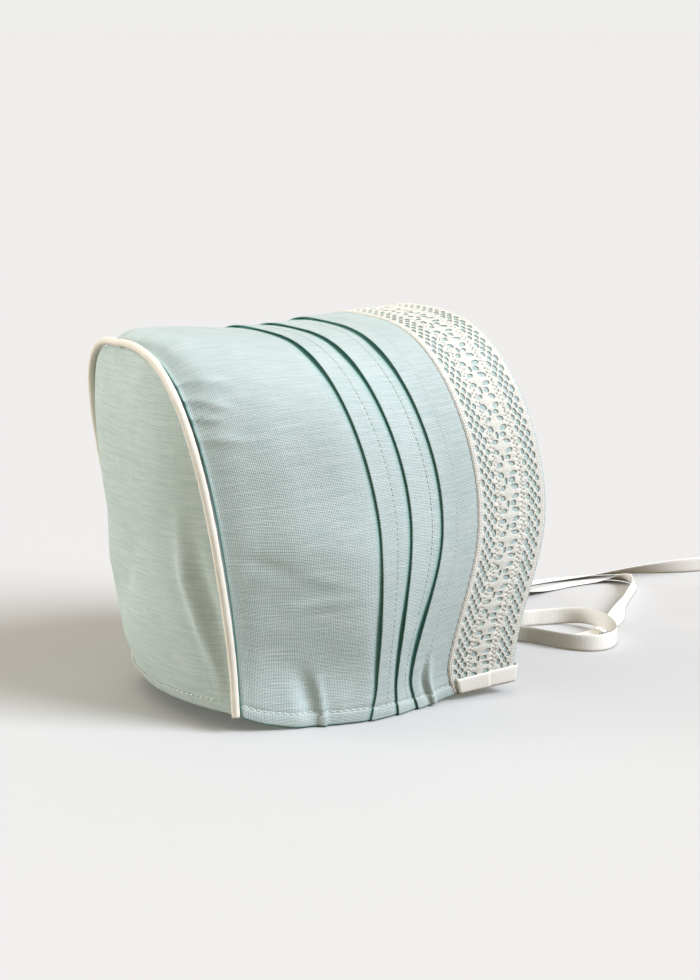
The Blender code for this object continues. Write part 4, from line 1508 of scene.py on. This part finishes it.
class BonnetLinen(bpy.types.PropertyGroup):
    """The linen's colours and threads."""

    colour: colour_prop("Colour", "Main colour of the linen", (0.70, 0.80, 0.793))
    # Deep colour: the darker threads, and, scaled down, the painted shade in the weave's hollows
    deep_colour: colour_prop("Deep colour", "Colour of the darker threads", (0.53, 0.66, 0.645))
    slub_colour: colour_prop("Slub colour", "Colour of the thick pale threads", (0.79, 0.86, 0.87))
    # Painted shade in the folds, along the hems and under the lace
    painted_shade_colour: colour_prop("Crease colour", "Colour deep in the folds", (0.14, 0.45, 0.395))
    stitch_colour: colour_prop("Stitch colour", "Colour of the sewing thread", (0.80, 0.86, 0.79))
    back_stitch_colour: colour_prop("Back stitches", "Thread in the back's hem", (0.98, 0.99, 0.90))
    thread_pitch: length_prop("Thread pitch", "Distance from thread to thread", 0.00056, 0.0002, 0.002)
    stitch_length: length_prop("Stitch length", "Length of one stitch", 0.0016, 0.0008, 0.004)
    slubs: bpy.props.FloatProperty(
        name="Slubs", description="How strongly the thick threads show", subtype="FACTOR",
        default=0.9, min=0.0, max=1.0,
    )


class BonnetPiping(bpy.types.PropertyGroup):
    """The piping's colours."""

    colour: colour_prop("Colour", "Main colour of the piping", (0.91, 0.875, 0.785))
    deep_colour: colour_prop("Deep colour", "Shaded colour of the piping", (0.80, 0.75, 0.64))


class BonnetLace(bpy.types.PropertyGroup):
    """The lace's colours and threads."""

    colour: colour_prop("Colour", "Main colour of the lace", (0.925, 0.915, 0.86))
    # The lace's deep colour is both the painted shade between the strands and its darker specks
    deep_colour: colour_prop("Deep colour", "Colour between the strands", (0.65, 0.655, 0.585))
    thread_width: length_prop("Thread width", "Width of one strand of the lace", 0.00042, 0.0002, 0.0015)


class BonnetRibbon(bpy.types.PropertyGroup):
    """The ribbon's colours and sizes."""

    colour: colour_prop("Colour", "Main colour of the satin", (0.98, 0.965, 0.92))
    deep_colour: colour_prop("Deep colour", "Shaded colour of the satin", (0.90, 0.88, 0.81))
    thickness: length_prop("Thickness", "Thickness of the ribbon", 0.0004, 0.0002, 0.0008)
    rib_pitch: length_prop("Rib pitch", "Distance from rib to rib", 0.0006, 0.0003, 0.002)


class BonnetStage(bpy.types.PropertyGroup):
    """The floor and the light."""

    floor_colour: colour_prop("Floor", "Colour of the floor", (0.625, 0.63, 0.636))
    bounce_colour: colour_prop("Bounce", "Colour that the floor throws back", (0.16, 0.13, 0.085))
    low_air_colour: colour_prop("Low air", "Colour of the light from the sides", (0.17, 0.155, 0.135))
    high_air_colour: colour_prop("High air", "Colour of the light from above", (0.69, 0.63, 0.53))
    distance_colour: colour_prop("Distance", "Colour seen behind the floor", (0.863, 0.855, 0.84))
    key_light: strength_prop("Key light", "Strength of the light from the front", 3.55)
    air_light: strength_prop("Air light", "Strength of the light from all round", 1.25, 0.1)
    fill_light: strength_prop("Fill light", "Strength of the light from the far side", 3.55)
    back_light: strength_prop("Back light", "Strength of the light from behind", 0.3)


class BONNET_OT_stage(bpy.types.Operator):
    """Add the camera, the floor and the light"""

    bl_idname = "bonnet.stage"
    bl_label = "Stage"

    def execute(self, context):
        make_stage()
        return {"FINISHED"}


class BONNET_OT_ties(bpy.types.Operator):
    """Add the two free ribbons"""

    bl_idname = "bonnet.ties"
    bl_label = "Ribbon Ties"

    def execute(self, context):
        make_tie("tie_right", TIE_RIGHT_ROUTE, "ribbon_tie_right")
        make_tie("tie_left", TIE_LEFT_ROUTE, "ribbon_tie_left")
        return {"FINISHED"}


class BONNET_OT_band(bpy.types.Operator):
    """Add the tucked linen band"""

    bl_idname = "bonnet.band"
    bl_label = "Tucked Band"

    def execute(self, context):
        make_band()
        return {"FINISHED"}


class BONNET_OT_panel(bpy.types.Operator):
    """Add the domed back panel"""

    bl_idname = "bonnet.back"
    bl_label = "Back Panel"

    def execute(self, context):
        make_panel()
        return {"FINISHED"}


class BONNET_OT_piping(bpy.types.Operator):
    """Add the piping in the back seam"""

    bl_idname = "bonnet.piping"
    bl_label = "Piping"

    def execute(self, context):
        make_piping()
        return {"FINISHED"}


class BONNET_OT_lace(bpy.types.Operator):
    """Add the lace over the face edge"""

    bl_idname = "bonnet.lace"
    bl_label = "Lace"

    def execute(self, context):
        make_lace()
        return {"FINISHED"}


class BONNET_OT_ribbon_ends(bpy.types.Operator):
    """Add the sewn ends of the ribbons"""

    bl_idname = "bonnet.ribbon_ends"
    bl_label = "Ribbon Ends"

    def execute(self, context):
        make_ribbon_end("end_right", False, "ribbon_end_right")
        make_ribbon_end("end_left", True, "ribbon_end_left")
        return {"FINISHED"}


class BONNET_OT_stitches(bpy.types.Operator):
    """Add the rows of stitches"""

    bl_idname = "bonnet.stitches"
    bl_label = "Stitches"

    def execute(self, context):
        make_stitches()
        return {"FINISHED"}


OPERATORS = (
    BONNET_OT_stage,
    BONNET_OT_ties,
    BONNET_OT_ribbon_ends,
    BONNET_OT_band,
    BONNET_OT_panel,
    BONNET_OT_piping,
    BONNET_OT_lace,
    BONNET_OT_stitches,
)
GROUPS = {
    "bonnet_linen": BonnetLinen,
    "bonnet_piping": BonnetPiping,
    "bonnet_lace": BonnetLace,
    "bonnet_ribbon": BonnetRibbon,
    "bonnet_stage": BonnetStage,
}


class BONNET_PT_panel(bpy.types.Panel):
    """The bonnet's tools and sizes"""

    bl_idname = "BONNET_PT_panel"
    bl_label = "Linen Bonnet"
    bl_space_type = "VIEW_3D"
    bl_region_type = "UI"
    bl_category = "Bonnet"

    def draw(self, context):
        for operator in OPERATORS:
            self.layout.operator(operator.bl_idname)
        for name, group in GROUPS.items():
            box = self.layout.box()
            box.label(text=name.replace("_", " ").capitalize())
            for prop in group.__annotations__:
                box.prop(getattr(context.scene, name), prop)


def register():
    """Registers the classes and their settings."""
    for name, group in GROUPS.items():
        bpy.utils.register_class(group)
        setattr(bpy.types.Scene, name, bpy.props.PointerProperty(type=group))
    for operator in OPERATORS:
        bpy.utils.register_class(operator)
    bpy.utils.register_class(BONNET_PT_panel)


def unregister():
    """Takes the classes and their settings away again."""
    bpy.utils.unregister_class(BONNET_PT_panel)
    for operator in reversed(OPERATORS):
        bpy.utils.unregister_class(operator)
    for name, group in GROUPS.items():
        delattr(bpy.types.Scene, name)
        bpy.utils.unregister_class(group)


def main():
    """Makes every piece in order."""
    register()
    bpy.ops.bonnet.stage()
    bpy.ops.bonnet.ties()
    bpy.ops.bonnet.ribbon_ends()
    bpy.ops.bonnet.band()
    bpy.ops.bonnet.back()
    bpy.ops.bonnet.piping()
    bpy.ops.bonnet.lace()
    bpy.ops.bonnet.stitches()


if __name__ == "__main__":
    main()
